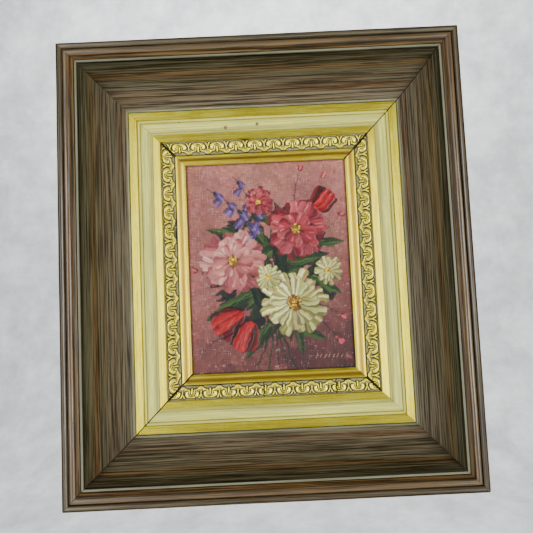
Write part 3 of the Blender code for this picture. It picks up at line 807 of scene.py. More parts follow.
def gilding(name, colour, pale, dull, bole, tones):
    """Bronze-powder gilding, pitted and worn, that shines across its brush lines along the rail."""
    made, tree, shader = new_material(name)
    clouds = laid_noise(tree, 60.0, 420.0, 5.0, 0.7)
    brushed = laid_noise(tree, 26.0, 2300.0, 3.0, 0.6)
    gold = colour_mix(tree, between(tree, clouds, 0.40, 0.62), colour, pale)
    gold = colour_mix(tree, between(tree, brushed, 0.50, 0.62, 0.0, 0.6), gold, dull)
    gold = colour_mix(tree, maths(tree, "MULTIPLY", spots(tree, 1300.0, 0.22), 0.7), gold, darker(pale, 1.05))
    recess = number(tree, "recess")
    gold = colour_mix(tree, between(tree, recess, 0.15, 0.75), gold, bole)
    pits = maths(tree, "MAXIMUM", spots(tree, 900.0, 0.18), spots(tree, 330.0, 0.10))
    gold = colour_mix(tree, maths(tree, "MULTIPLY", pits, 0.75), gold, bole)
    tree.links.new(toned(tree, gold, tones), shader.inputs["Base Color"])
    shader.inputs["Metallic"].default_value = 0.94
    tree.links.new(between(tree, clouds, 0.3, 0.7, 0.36, 0.50), shader.inputs["Roughness"])
    shader.inputs["Anisotropic"].default_value = 0.9
    shader.inputs["Anisotropic Rotation"].default_value = 0.25
    lines = put(tree, "ShaderNodeTangent", direction_type="UV_MAP", uv_map="OFBake").outputs["Tangent"]
    tree.links.new(lines, shader.inputs["Tangent"])
    relief(tree, shader, maths(tree, "SUBTRACT", maths(tree, "ADD", brushed, clouds), pits), 0.00008, 0.8)
    return made


def raw_wood(name, pale, dark):
    """Bare softwood on the back and in the rabbet."""
    made, tree, shader = new_material(name)
    rings = laid_noise(tree, 4.0, 330.0, 5.0, 0.6, 0.4)
    fibres = laid_noise(tree, 30.0, 2600.0, 3.0, 0.5)
    middle = tuple(0.5 * (a + b) for a, b in zip(pale, dark))
    wood = ramp(tree, rings, [(0.35, pale), (0.52, middle), (0.68, dark)])
    wood = colour_mix(tree, between(tree, fibres, 0.5, 0.7, 0.0, 0.4), wood, dark)
    tree.links.new(wood, shader.inputs["Base Color"])
    shader.inputs["Roughness"].default_value = 0.7
    relief(tree, shader, fibres, 0.00010, 0.7)
    return made


print("rubbed paint, gilding and bare wood ready to be coloured")

# %% [markdown]
# Each finish gets its own colours and a list of tones: how dark it is from its outer edge to its inner edge.
# The darkening is painted shade where the next step of the moulding would shade it, and grime where it
# gathers.

# %% The seven finishes
EVEN = [(0.0, 1.0), (1.0, 1.0)]
# Painted shade: the cove darkens towards its outer edge, under the cap. Its orange band and pale inner part
# are the wood's own colour.
COVE_TONES = [
    (0.0, (0.42, 0.44, 0.40)),
    (0.06, (0.66, 0.74, 0.68)),
    (0.20, (0.80, 0.84, 0.76)),
    (0.30, (1.05, 0.80, 0.55)),
    (0.38, (0.86, 0.86, 0.80)),
    (0.70, (1.04, 1.00, 0.98)),
    (1.0, (1.20, 1.16, 1.16)),
]
SLOPE_AT = OUTER_BEAD + CAP_QUIRK + INNER_BEAD
# Painted shade: the cap's outer side, the outer half of its outer bead, and its slope and step into the cove
# are darker.
CAP_TONES = [
    (0.0, (0.42, 0.32, 0.26)),
    (share_at(CAP, OUTER_BEAD * 0.02), (0.42, 0.32, 0.26)),
    (share_at(CAP, OUTER_BEAD * 0.25), (0.50, 0.42, 0.36)),
    (share_at(CAP, OUTER_BEAD * 0.60), (1.0, 0.96, 0.9)),
    (share_at(CAP, SLOPE_AT) - 0.004, 1.0),
    (share_at(CAP, SLOPE_AT) + 0.002, 0.35),
    (share_at(CAP, COVE_AT), 0.35),
    (share_at(CAP, COVE_END), 1.0),
]
SAGE_TONES = [(0.0, 0.50), (0.5, 0.50), (0.6, 1.1), (1.0, 1.1)]
# Painted shade: the cream darkens at its outer edge, in its quirk and towards its inner edge, beside the
# steps.
CREAM_TONES = [
    (0.0, 0.25), (0.04, 0.45), (0.07, 0.80), (0.18, 0.88), (0.23, 0.66),
    (0.30, 1.0), (0.60, 1.0), (0.70, 0.72), (0.84, 0.80), (1.0, 0.60),
]
CREAM_STAINS = [(-0.0216, 0.66, 2.0, 0.0013), (-0.0034, 0.55, 2.0, 0.0012), (-0.0480, 0.26, 2.0, 0.0006)]
LIP_SHARE = share_at(GILT, LIP_AT)
LIP_TINT = (1.0, 0.97, 1.1)
GILT_TONES = [(0.0, 1.0), (LIP_SHARE - 0.05, 1.0), (LIP_SHARE - 0.03, LIP_TINT), (1.0, LIP_TINT)]
FINISH_OF = {
    RAW: raw_wood("bare softwood", (0.46, 0.31, 0.17), (0.30, 0.18, 0.09)),
    CAP: stained_wood(
        "stained cap",
        (0.019, 0.013, 0.005), (0.052, 0.037, 0.018), (0.108, 0.088, 0.048),
        (0.072, 0.066, 0.036), (0.082, 0.042, 0.013),
        (CAP, CAP_TONES),
        gloss=0.24,
        recess_darkening=0.15,
        shine=0.70,
    ),
    BEAD: stained_wood(
        "brown bead",
        (0.026, 0.013, 0.003), (0.078, 0.041, 0.011), (0.138, 0.086, 0.032),
        (0.070, 0.053, 0.022), (0.108, 0.046, 0.008),
        (BEAD, EVEN),
        gloss=0.24,
        recess_darkening=0.15,
        shine=0.70,
    ),
    COVED: stained_wood(
        "stained cove",
        (0.030, 0.023, 0.012), (0.080, 0.062, 0.035), (0.140, 0.119, 0.077),
        (0.092, 0.088, 0.056), (0.100, 0.049, 0.016),
        (COVED, COVE_TONES),
    ),
    SAGE: rubbed_paint(
        "grey-green paint",
        (0.31, 0.32, 0.19), (0.20, 0.18, 0.10), (0.05, 0.045, 0.03), (0.10, 0.07, 0.04),
        (SAGE, SAGE_TONES),
    ),
    CREAM: rubbed_paint(
        "cream paint",
        (0.77, 0.74, 0.145), (0.50, 0.50, 0.15), (0.16, 0.15, 0.06), (0.17, 0.115, 0.045),
        (CREAM, CREAM_TONES),
        CREAM_STAINS,
    ),
    GILT: gilding(
        "gilding",
        (0.90, 0.72, 0.040), (1.0, 0.92, 0.085), (0.46, 0.31, 0.035), (0.36, 0.23, 0.030),
        (GILT, GILT_TONES),
    ),
}
print(len(FINISH_OF), "finishes for the rails")

# %% [markdown]
# ## The four rails
#
# Top right and bottom left the real joints have opened, right through wood, cream and gilt. The other two are
# tight. A rail is grown lying along X with its outer edge up, its two ends are closed, and then it is turned
# to its side of the frame.

# %% Four rails
PIECES_ALONG = 90
SHARP_EDGE = math.radians(50)
END_AT, END_WIDTH, END_LENGTH = 0.955, 0.04, 0.45
GRAIN_DEPTH = 0.00055
OPEN_GAP = 0.0009
LEVEL = {"half_length": HALF_WIDTH, "half_across": HALF_HEIGHT, "gaps": (MITRE_GAP, OPEN_GAP)}
UPRIGHT = {"half_length": HALF_HEIGHT, "half_across": HALF_WIDTH, "gaps": (OPEN_GAP, MITRE_GAP)}
SIDES = {
    "top": {"turn": 0.0, **LEVEL},
    "right": {"turn": math.pi / 2, **UPRIGHT},
    "bottom": {"turn": math.pi, **LEVEL},
    "left": {"turn": -math.pi / 2, **UPRIGHT},
}
BODY = "root"


def to_side(side):
    """From a bar's own place, along X with its outer edge up, to its side of the frame."""
    return Matrix.Translation(CENTRE) @ Matrix.Rotation(side["turn"], 4, "Y")


def number_list(mesh, name):
    """A copy of the numbers that a mesh keeps under a name."""
    data = mesh.attributes[name].data
    found = np.empty(len(data), dtype=np.float32)
    data.foreach_get("value", found)
    return found


def face_the_rail(mesh):
    """Gives every long face the finish of the stretch of the section that it lies on."""
    across = number_list(mesh, "across")
    slots = np.zeros(len(mesh.polygons), dtype=np.int32)
    for face in mesh.polygons:
        if len(face.vertices) == 4:
            found = across[list(face.vertices)]
            over_the_seam = found.max() - found.min() >= COARSE_STEP * 2
            middle = LENGTHS[-1] - COARSE_STEP / 2 if over_the_seam else found.mean()
            slots[face.index] = FINISHES[np.searchsorted(LENGTHS, middle) - 1]
    mesh.polygons.foreach_set("material_index", slots)


def close_ends(mesh):
    """Closes the two mitred ends, with their corner of the sheet to themselves."""
    bm = bmesh.new()
    bm.from_mesh(mesh)
    rim = [edge for edge in bm.edges if edge.is_boundary]
    filled = bmesh.ops.holes_fill(bm, edges=rim, sides=0)["faces"]
    filled = bmesh.ops.triangulate(bm, faces=filled)["faces"]
    sheet = bm.loops.layers.uv["OFBake"]
    for face in filled:
        face.material_index = RAW
        face.smooth = False
        for loop in face.loops:
            up, out = -loop.vert.co.y, math.copysign(loop.vert.co.z / HALF_HEIGHT, loop.vert.co.x)
            loop[sheet].uv = (END_AT + END_WIDTH * (up / CAP_HEIGHT), 0.5 + END_LENGTH * out)
    for edge in bm.edges:
        edge.smooth = edge.calc_face_angle(0.0) < SHARP_EDGE
    bmesh.ops.recalc_face_normals(bm, faces=bm.faces)
    bm.to_mesh(mesh)
    bm.free()


def add_rail(where, board):
    side = SIDES[where]
    sizes = {
        "Half length": side["half_length"],
        "Half across": side["half_across"],
        "Left gap": side["gaps"][0],
        "Right gap": side["gaps"][1],
        "Pieces along": PIECES_ALONG,
        "Grain depth": GRAIN_DEPTH,
        "Board": board,
        "Finish": FINISH_OF[COVED],
    }
    mesh = grown(where + " rail", outline_mesh(), RAIL_TREE, sizes)
    mesh.materials.clear()
    for finish in sorted(FINISH_OF):
        mesh.materials.append(FINISH_OF[finish])
    face_the_rail(mesh)
    close_ends(mesh)
    mesh.transform(to_side(side))
    made = add_object(where + "_rail", mesh)
    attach(made, BODY)
    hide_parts("rail_" + where)
    print(where, "rail:", len(mesh.polygons), "faces")
    return made


FIRST_BOARD, BOARDS_APART = 2.0, 5.0
for board, where in enumerate(SIDES):
    add_rail(where, FIRST_BOARD + BOARDS_APART * board)

# %% [markdown]
# ## The pressed ornament
#
# The real strips are pressed composition: one mould, again and again, laid in the rails while still soft. So
# one tile is modelled, a tongue between two comma-shaped arms with half a shell on either side, and a node
# tree repeats it. Each form is a rounded bead along a line, and where two meet the higher one wins.

# %% Forms of one ornament
SCROLL_HALF_WIDTH, SCROLL_HALF_HEIGHT, SCROLL_CENTRE = 0.350, 0.275, 0.465
SCROLL_SWEEP = math.radians(128)
SCROLL_STEPS = 34
SCROLL_CURL = 0.12
CROWN_BEAD, ARM_BEAD, CROWN_SHARE = 0.045, 0.165, 0.50
ARM_FULL, ARM_NARROWS, ARM_LATENESS = 0.70, 0.30, 1.4
TONGUE_BEAD, TONGUE_START, TONGUE_END, TONGUE_SHARE = 0.072, 0.36, 0.83, 0.85
ARCH_RADIUS, ARCH_BEAD, ARCH_CENTRE, ARCH_END, ARCH_SHARE = 0.150, 0.032, 0.45, 0.62, 0.50
EYE_OUT, EYE_DOWN, EYE_RADIUS, EYE_GROOVE, EYE_DEPTH = 0.325, 0.535, 0.100, 0.050, 0.62
EYE_OPENS, EYE_OPENING = math.radians(-40), 0.75
STEM_BEAD, STEM_START, STEM_END, STEM_SHARE = 0.050, 0.13, 0.66, 0.95
FORK_SPREAD, FORK_END = 0.140, 0.42
SHELL_CENTRE, SHELL_RADIUS, SHELL_EDGE = 0.50, 0.44, 0.12
SHELL_SPREAD, SHELL_LOBES, SHELL_SCALLOP = math.radians(58), 2.5, 0.13
SHELL_SHARE, SHELL_RIM_SHARE, SHELL_RIM, SHELL_RIBS = 0.26, 0.74, 0.14, 0.42
ROUNDNESS = 0.72
RELIEF = 0.0010
TILE_PITCH = 0.0106
TILE_STEP = 0.000135
BAND_FACE = BAND - 2 * SEAT_GAP


def bulge(distance, half_width):
    """The share of its full height that a rounded form has at a distance from its middle line."""
    return np.clip(1.0 - (distance / half_width) ** 2, 0.0, None) ** ROUNDNESS


def scroll_height(x, down):
    """Two comma-shaped arms from a thin crown, open towards the picture, each curled about a sunk eye."""
    height = np.zeros_like(x)
    for i in range(SCROLL_STEPS + 1):
        share = i / SCROLL_STEPS
        angle = SCROLL_SWEEP * share
        arm_x = SCROLL_HALF_WIDTH * BAND * math.sin(angle) * (1.0 - SCROLL_CURL * share**4)
        arm_down = (SCROLL_CENTRE - SCROLL_HALF_HEIGHT * math.cos(angle)) * BAND
        fullness = math.sin(math.pi / 2 * min(1.0, share / ARM_FULL)) ** ARM_LATENESS
        fullness -= ARM_NARROWS * max(0.0, share - ARM_FULL) / (1.0 - ARM_FULL)
        thickness = (CROWN_BEAD + (ARM_BEAD - CROWN_BEAD) * fullness) * BAND
        rise = CROWN_SHARE + (1.0 - CROWN_SHARE) * share
        height = np.maximum(height, rise * bulge(np.hypot(np.abs(x) - arm_x, down - arm_down), thickness))
    out, fall = np.abs(x) - EYE_OUT * BAND, down - EYE_DOWN * BAND
    groove = bulge(np.hypot(out, fall) - EYE_RADIUS * BAND, EYE_GROOVE * BAND)
    groove = groove * np.clip(EYE_OPENING - np.cos(np.arctan2(fall, out) - EYE_OPENS), 0.0, 1.0)
    return height * (1.0 - EYE_DEPTH * groove)


def tongue_height(x, down):
    """The tongue between the two arms: a bead with round ends."""
    middle, half = (TONGUE_START + TONGUE_END) / 2 * BAND, (TONGUE_END - TONGUE_START) / 2 * BAND
    past_end = np.clip(np.abs(down - middle) - (half - TONGUE_BEAD * BAND), 0.0, None)
    return TONGUE_SHARE * bulge(np.hypot(x, past_end), TONGUE_BEAD * BAND)


def arch_height(x, down):
    """The fine line that arches over the tongue."""
    top, radius = ARCH_CENTRE * BAND, ARCH_RADIUS * BAND
    off = np.where(down < top, np.abs(np.hypot(x, down - top) - radius), np.abs(np.abs(x) - radius))
    return np.where(down < ARCH_END * BAND, ARCH_SHARE * bulge(off, ARCH_BEAD * BAND), 0.0)


def stem_height(x, down):
    """The stem between two scrolls, forked at its head."""
    lean = np.clip((FORK_END * BAND - down) / ((FORK_END - STEM_START) * BAND), 0.0, 1.0)
    bead_width = STEM_BEAD * BAND * (1.0 + lean / 2)
    height = STEM_SHARE * bulge(np.abs(x) - FORK_SPREAD * BAND * lean, bead_width)
    return np.where((down > STEM_START * BAND) & (down < STEM_END * BAND), height, 0.0)


def shell_height(x, down):
    """The shell at the stem's foot: a shallow ribbed fan that rises to a scalloped rim."""
    out, fall = np.abs(x), down - SHELL_CENTRE * BAND
    angle = np.arctan2(out, fall)
    wave = np.abs(np.cos(angle * SHELL_LOBES))
    share = np.hypot(out, fall) / (SHELL_RADIUS * BAND * (1.0 - SHELL_SCALLOP * (1.0 - wave)))
    rim = np.sqrt(np.clip((1.0 - share) / SHELL_RIM, 0.0, 1.0))
    side = np.sqrt(np.clip((SHELL_SPREAD - angle) / SHELL_EDGE, 0.0, 1.0))
    return (SHELL_SHARE + SHELL_RIM_SHARE * share**3) * rim * side * (1.0 - SHELL_RIBS * (1.0 - wave))


print(f"the ornament stands {RELIEF:.4f} m high and one tile is {TILE_PITCH:.4f} m long")

# %% [markdown]
# The forms are worked out on a fine grid, from the middle of one shell to the next, and softened a little, as
# pressing does. A place below its surroundings is in a hollow, where shade is painted in and some grime stays.
# The mesh keeps both numbers.

# %% One tile
PRESSED_PASSES, SURROUNDINGS_PASSES = 2, 14
HOLLOW_CONTRAST = 3.0


def soften(values, passes):
    """Smooths a grid of heights a little, as pressing does; the tile repeats, so it wraps along the strip."""
    for _ in range(passes):
        values = 0.25 * (np.roll(values, 1, 0) + np.roll(values, -1, 0)) + 0.5 * values
        padded = np.pad(values, ((0, 0), (1, 1)), mode="edge")
        values = 0.25 * (padded[:, :-2] + padded[:, 2:]) + 0.5 * values
    return values


def ornament_tile():
    """One tile as a mesh, a tongue in its middle, with its relief and its hollows on its points."""
    columns, rows = round(TILE_PITCH / TILE_STEP), round(BAND_FACE / TILE_STEP)
    x = (np.arange(columns + 1) / columns - 0.5) * TILE_PITCH
    down = SEAT_GAP + np.arange(rows + 1) / rows * BAND_FACE
    x, down = np.meshgrid(x, down, indexing="ij")
    from_shell = TILE_PITCH / 2 - np.abs(x)
    share = np.maximum.reduce([scroll_height(x, down), tongue_height(x, down), arch_height(x, down)])
    share = np.maximum.reduce([share, stem_height(from_shell, down), shell_height(from_shell, down)])
    share[:-1] = soften(share[:-1], PRESSED_PASSES)
    share[-1] = share[0]
    blurred = share.copy()
    blurred[:-1] = soften(share[:-1], SURROUNDINGS_PASSES)
    blurred[-1] = blurred[0]
    points = np.stack([x, -share * RELIEF, -down], axis=-1).reshape(-1, 3)
    faces = []
    for i in range(columns):
        for j in range(rows):
            corner = i * (rows + 1) + j
            faces.append((corner, corner + rows + 1, corner + rows + 2, corner + 1))
    mesh = bpy.data.meshes.new("ornament tile")
    mesh.from_pydata(points.tolist(), [], faces)
    keep_numbers(mesh, "relief", share)
    keep_numbers(mesh, "hollow", np.clip((blurred - share) * HOLLOW_CONTRAST, -1.0, 1.0))
    return mesh


TILE = ornament_tile()
print("one tile:", len(TILE.polygons), "faces")

# %% [markdown]
# The tree lays the tiles in a row, joins them, and lets the strip waver a little, because it was pressed and
# laid by hand. The pitch and the place of the first tongue differ from side to side, as they do on the frame.

# %% The tree that repeats the tile
def strip_tree():
    floats = ("Pitch", "First", "Waver", "Board")
    sizes = {**dict.fromkeys(floats, "float"), "Tiles": "count", "Finish": "finish"}
    tree, given = new_tree("pressed strip", sizes)
    start = put(tree, "ShaderNodeCombineXYZ", {"X": given["First"]}).outputs["Vector"]
    step = put(tree, "ShaderNodeCombineXYZ", {"X": given["Pitch"]}).outputs["Vector"]
    feeds = {"Count": given["Tiles"], "Start Location": start, "Offset": step}
    row = put(tree, "GeometryNodeMeshLine", feeds).outputs["Mesh"]
    longer = maths(tree, "DIVIDE", given["Pitch"], TILE_PITCH)
    stretch = put(tree, "ShaderNodeCombineXYZ", {"X": longer, "Y": 1.0, "Z": 1.0}).outputs["Vector"]
    feeds = {"Points": row, "Instance": given["Geometry"], "Scale": stretch}
    laid = put(tree, "GeometryNodeInstanceOnPoints", feeds).outputs["Instances"]
    real = put(tree, "GeometryNodeRealizeInstances", {"Geometry": laid}).outputs["Geometry"]
    joined = put(tree, "GeometryNodeMergeByDistance", {"Geometry": real, "Distance": TILE_STEP / 8})
    place = put(tree, "GeometryNodeInputPosition").outputs["Position"]
    seed = put(tree, "ShaderNodeCombineXYZ", {"Z": given["Board"]}).outputs["Vector"]
    there = vector_maths(tree, "ADD", place, seed)
    noise = put(tree, "ShaderNodeTexNoise", {"Vector": there, "Scale": 230.0, "Detail": 2.0}).outputs["Color"]
    centred = vector_maths(tree, "SUBTRACT", noise, (0.5, 0.5, 0.5))
    kept_in_strip = vector_maths(tree, "MULTIPLY", centred, (1.0, 0.6, 0.0))
    feeds = {0: kept_in_strip, "Scale": given["Waver"]}
    offset = put(tree, "ShaderNodeVectorMath", feeds, operation="SCALE").outputs["Vector"]
    feeds = {"Geometry": joined.outputs["Geometry"], "Offset": offset}
    moved = put(tree, "GeometryNodeSetPosition", feeds).outputs["Geometry"]
    smooth = put(tree, "GeometryNodeSetShadeSmooth", {0: moved}).outputs[0]
    end_tree(tree, smooth, given["Finish"])
    return tree


STRIP_TREE = strip_tree()
print("the strip's tree has", len(STRIP_TREE.nodes), "nodes")

# %% [markdown]
# Composition shrinks as it dries, so the strips have cracked across, mostly along the bottom, and bits of
# their edges have gone. Cracks and chips are pushed into the mesh with a little numpy, each at its own place
# along the strip.

# %% Cracks and chips
CRACKS = {
    "top": [],
    "right": [],
    "bottom": [
        (-0.0345, 0.00034), (-0.0144, 0.00014), (-0.0043, 0.00022),
        (0.0060, 0.00030), (0.0242, 0.00018), (0.0444, 0.00020),
    ],
    "left": [(0.0236, 0.00022), (0.0010, 0.00012)],
}
CHIPS = {
    "top": [(-0.011, 0.0003, 0.0035), (0.0015, 0.0002, 0.0014)],
    "right": [],
    "bottom": [(-0.0395, 0.0076, 0.0020)],
    "left": [(0.0195, 0.0077, 0.0040), (0.0265, 0.0074, 0.0022)],
}
CHIP_DEPTH, CHIP_NARROWNESS = 0.0009, 0.22
CRACK_WANDER = 0.00025
END_SHADE_REACH = 0.0005


def age_strip(where, points, relief_share):
    """Pushes cracks and chips into a strip's points, and returns how dark each point is: cracks and chips, and
    painted shade towards the mitred ends.
    """
    along, down = points[:, 0].copy(), -points[:, 2]
    to_end = (SIDES[where]["half_length"] - BAND_AT - down - np.abs(along)) / math.sqrt(2)
    # Painted shade: each strip darkens into its mitred ends, where the gap between strips lies in shadow; the
    # points there sink a little too.
    dark = np.clip(1.5 - to_end / END_SHADE_REACH, 0.0, 0.9)
    for place, half_width in CRACKS[where]:
        wander = CRACK_WANDER * (np.sin(down * 2100.0 + place * 900.0) + 0.5 * np.sin(down * 5300.0))
        close = np.exp(-(((along - place - wander) / half_width) ** 2))
        dark = np.maximum(dark, close)
    for place, at_down, reach in CHIPS[where]:
        ragged = 1.0 + 0.45 * np.sin(along * 5200.0 + place * 300.0) * np.sin(down * 4100.0)
        off = np.hypot((along - place) / reach, (down - at_down) / (reach * CHIP_NARROWNESS)) / ragged
        dark = np.maximum(dark, np.clip(1.4 - off, 0.0, 1.0))
    floor = np.minimum(CHIP_DEPTH, relief_share * RELIEF + STRIP_THICKNESS * 0.6)
    points[:, 1] += dark * floor
    return dark


print(sum(map(len, CRACKS.values())), "cracks and", sum(map(len, CHIPS.values())), "chips")

# %% [markdown]
# A strip is cut on its mitres, gets its edges and a flat back, and is laid in its bed, which slopes down
# towards the picture. Cutting the finished strip, and not the tile, lets the pattern run into the mitre
# wherever it happens to be, as on the real frame.

# %% Where a strip lies and how it is cut
ORNAMENT = {
    "top": (0.0109, 0.50),
    "right": (0.0105, 0.65),
    "bottom": (0.0103, 0.50),
    "left": (0.0109, 0.00),
}
WAVER = 0.00028
STRIP_BACK = STRIP_THICKNESS - 0.00005
STRIP_GAP = 0.0006


def to_bed(side):
    """From a strip's own place to its bed in the rail, which slopes down towards the picture."""
    slope = math.atan((BAND_OUTER_HEIGHT - BAND_INNER_HEIGHT) / BAND)
    in_rail = Matrix.Translation((0.0, -BAND_OUTER_HEIGHT, side["half_across"] - BAND_AT))
    return in_rail @ Matrix.Rotation(slope, 4, "X")


def cut_to_mitres(bm, side):
    """Cuts a strip's two ends on the mitres of its rail."""
    for end, gap in zip((-1, 1), side["gaps"]):
        outer = Vector((end * (side["half_length"] - MITRE_GAP / math.sqrt(2)), 0.0, side["half_across"]))
        inner_x = end * (side["half_length"] - RAIL_WIDTH - max(gap, STRIP_GAP) / math.sqrt(2))
        along = Vector((inner_x, 0.0, side["half_across"] - RAIL_WIDTH)) - outer
        out_of_rail = Vector((end * abs(along.z), 0.0, -abs(along.x)))
        everything = bm.verts[:] + bm.edges[:] + bm.faces[:]
        bmesh.ops.bisect_plane(
            bm, geom=everything, plane_co=outer, plane_no=out_of_rail, clear_outer=True, dist=1e-7
        )


def add_back(bm, to_strip):
    """Gives the pressed sheet its edges and its flat back."""
    rim = [edge for edge in bm.edges if edge.is_boundary]
    skirt = bmesh.ops.extrude_edge_only(bm, edges=rim)["geom"]
    back_to_bed = to_strip.inverted()
    for vert in (item for item in skirt if isinstance(item, bmesh.types.BMVert)):
        flat = back_to_bed @ vert.co
        flat.y = STRIP_BACK
        vert.co = to_strip @ flat
    bmesh.ops.holes_fill(bm, edges=[edge for edge in bm.edges if edge.is_boundary], sides=0)
    bmesh.ops.recalc_face_normals(bm, faces=bm.faces)


def spread_strip(bm, to_strip, side):
    """Lays the strip out on its sheet: its face across nearly all of it, its back and edges below."""
    sheet = bm.loops.layers.uv.new("OFBake")
    back = to_strip.inverted()
    for face in bm.faces:
        behind = face.normal.y > 0.5
        for loop in face.loops:
            place = back @ loop.vert.co
            u = 0.01 + 0.98 * (place.x / side["half_length"] / 2 + 0.5)
            v = -place.z / BAND
            loop[sheet].uv = (u, 0.02 + 0.06 * v) if behind else (u, 0.10 + 0.89 * v)


print("metres from tongue to tongue:", [pitch for pitch, _ in ORNAMENT.values()])

# %% [markdown]
# The gilding on the strips is worn to the grey-green ground in the low parts, and grime fills the cracks. The
# hollows get painted shade with some grime, the mitred ends painted shade, and the crests a paler gold, a
# painted highlight. So the material asks every place how high it stands, how deep it lies beside its
# neighbours and whether cracks, chips or a mitred end are near.

# %% Pressed gilding and the four strips
def pressed_gilt(name, gold, pale, ground, shade):
    """Gilding on what stands up, paler on the crests as a painted highlight, a grey-green wash on the ground,
    painted shade in the hollows and at the mitred ends, and grime in the cracks.
    """
    made, tree, shader = new_material(name)
    high, low, cracks_chips_and_end_shade = (number(tree, n) for n in ("relief", "hollow", "dark"))
    rough, clouds = object_noise(tree, 900.0, 4.0), object_noise(tree, 140.0, 3.0)
    wash = colour_mix(tree, between(tree, clouds, 0.40, 0.62), ground, darker(ground, 0.74))
    # Painted highlight: the highest parts of the relief get the paler gold.
    crest_highlight = maths(tree, "MULTIPLY_ADD", maths(tree, "SUBTRACT", rough, 0.5), 0.5, high)
    metal = colour_mix(tree, between(tree, crest_highlight, 0.50, 0.82), gold, pale)
    worn = maths(tree, "MULTIPLY_ADD", maths(tree, "SUBTRACT", rough, 0.5), 0.45, high)
    worn = maths(tree, "MULTIPLY_ADD", maths(tree, "SUBTRACT", clouds, 0.5), 0.45, worn)
    gilt = between(tree, worn, 0.22, 0.42)
    colour = colour_mix(tree, gilt, wash, metal)
    # Painted shade with some grime: the hollows darken towards the shade colour.
    colour = colour_mix(tree, between(tree, low, 0.02, 0.25, 0.0, 0.95), colour, shade)
    # Dark cracks and chips, and painted shade at the mitred ends.
    colour = colour_mix(tree, between(tree, cracks_chips_and_end_shade, 0.25, 0.75), colour, darker(shade, 0.35))
    tree.links.new(colour, shader.inputs["Base Color"])
    tree.links.new(maths(tree, "MULTIPLY", gilt, 0.85), shader.inputs["Metallic"])
    tree.links.new(between(tree, gilt, 0.0, 1.0, 0.72, 0.36), shader.inputs["Roughness"])
    relief(tree, shader, rough, 0.00008, 0.6)
    return made


PRESSED = pressed_gilt(
    "pressed gilding",
    (0.94, 0.77, 0.045),
    (1.0, 0.96, 0.105),
    (0.250, 0.235, 0.100),
    (0.026, 0.019, 0.006),
)


def add_strip(where, board):
    side = SIDES[where]
    pitch, phase = ORNAMENT[where]
    reach = side["half_length"] - BAND_AT + BAND
    first = math.floor(-reach / pitch - phase)
    tiles = math.ceil(reach / pitch - phase) - first + 1
    sizes = {
        "Pitch": pitch,
        "First": (first + phase) * pitch,
        "Tiles": tiles,
        "Waver": WAVER,
        "Board": board,
        "Finish": PRESSED,
    }
    mesh = grown(where + " ornament", TILE.copy(), STRIP_TREE, sizes)
    points = np.empty(len(mesh.vertices) * 3, dtype=np.float32)
    mesh.vertices.foreach_get("co", points)
    points = points.reshape(-1, 3).astype(np.float64)
    dark = age_strip(where, points, number_list(mesh, "relief"))
    mesh.vertices.foreach_set("co", points.astype(np.float32).ravel())
    keep_numbers(mesh, "dark", dark)
    to_strip = to_bed(side)
    mesh.transform(to_strip)
    bm = bmesh.new()
    bm.from_mesh(mesh)
    cut_to_mitres(bm, side)
    add_back(bm, to_strip)
    bm.normal_update()
    spread_strip(bm, to_strip, side)
    bm.to_mesh(mesh)
    bm.free()
    mesh.transform(to_side(side))
    made = add_object(where + "_ornament", mesh)
    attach(made, BODY)
    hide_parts("ornament_" + where)
    print(where, "ornament:", tiles, "tiles,", len(mesh.polygons), "faces")
    return made


for board, where in enumerate(SIDES):
    add_strip(where, 0.1 + 0.2 * board)

# %% [markdown]
# ## The painting
#
# The board is a sheet of card with canvas glued over it. The picture on it is a generic posy of garden
# flowers on a dusty pink ground. It is painted here as a painter would, stroke by stroke, onto two arrays:
# the colour of the paint, and how thickly it stands. That keeps every stroke sharp without a picture file.

# %% The canvas
BOARD_LOW, BOARD_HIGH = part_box("painting")
BOARD_WIDTH, BOARD_HEIGHT = BOARD_HIGH.x - BOARD_LOW.x, BOARD_HIGH.z - BOARD_LOW.z
DABS_PER_MM = 5
COLUMNS, ROWS = round(BOARD_WIDTH * 1000 * DABS_PER_MM), round(BOARD_HEIGHT * 1000 * DABS_PER_MM)
HANDS = np.random.default_rng(11)


def mixed(red, green, blue):
    """A paint, by the share of red, green and blue light that it returns."""
    return np.array((red, green, blue))


ROSE_LIGHT, ROSE, ROSE_DARK = mixed(0.56, 0.17, 0.16), mixed(0.34, 0.027, 0.044), mixed(0.065, 0.002, 0.005)
PINK_LIGHT, PINK, PINK_DARK = mixed(0.76, 0.42, 0.32), mixed(0.44, 0.135, 0.125), mixed(0.17, 0.022, 0.030)
CREAM_WHITE, CREAM_SHADE = mixed(0.92, 0.90, 0.50), mixed(0.38, 0.36, 0.085)
CREAM_DARK = mixed(0.060, 0.048, 0.010)
CRIMSON_LIGHT, CRIMSON = mixed(0.50, 0.016, 0.016), mixed(0.15, 0.003, 0.005)
CRIMSON_DARK = mixed(0.018, 0.001, 0.002)
VIOLET_LIGHT, VIOLET = mixed(0.20, 0.13, 0.31), mixed(0.070, 0.034, 0.13)
VIOLET_DARK = mixed(0.014, 0.005, 0.030)
LEAF_LIGHT, LEAF = mixed(0.060, 0.11, 0.020), mixed(0.009, 0.027, 0.008)
LEAF_DARK = mixed(0.001, 0.004, 0.003)
YELLOW, OCHRE, BARK = mixed(0.80, 0.56, 0.01), mixed(0.26, 0.105, 0.005), mixed(0.012, 0.003, 0.002)
GROUND_LIGHT, GROUND = mixed(0.345, 0.131, 0.108), mixed(0.198, 0.059, 0.052)
GROUND_DEEP = mixed(0.033, 0.008, 0.011)

colour_there = np.zeros((ROWS, COLUMNS, 3)) + GROUND
body_there = np.zeros((ROWS, COLUMNS))
print("canvas of", COLUMNS, "x", ROWS, "dabs")

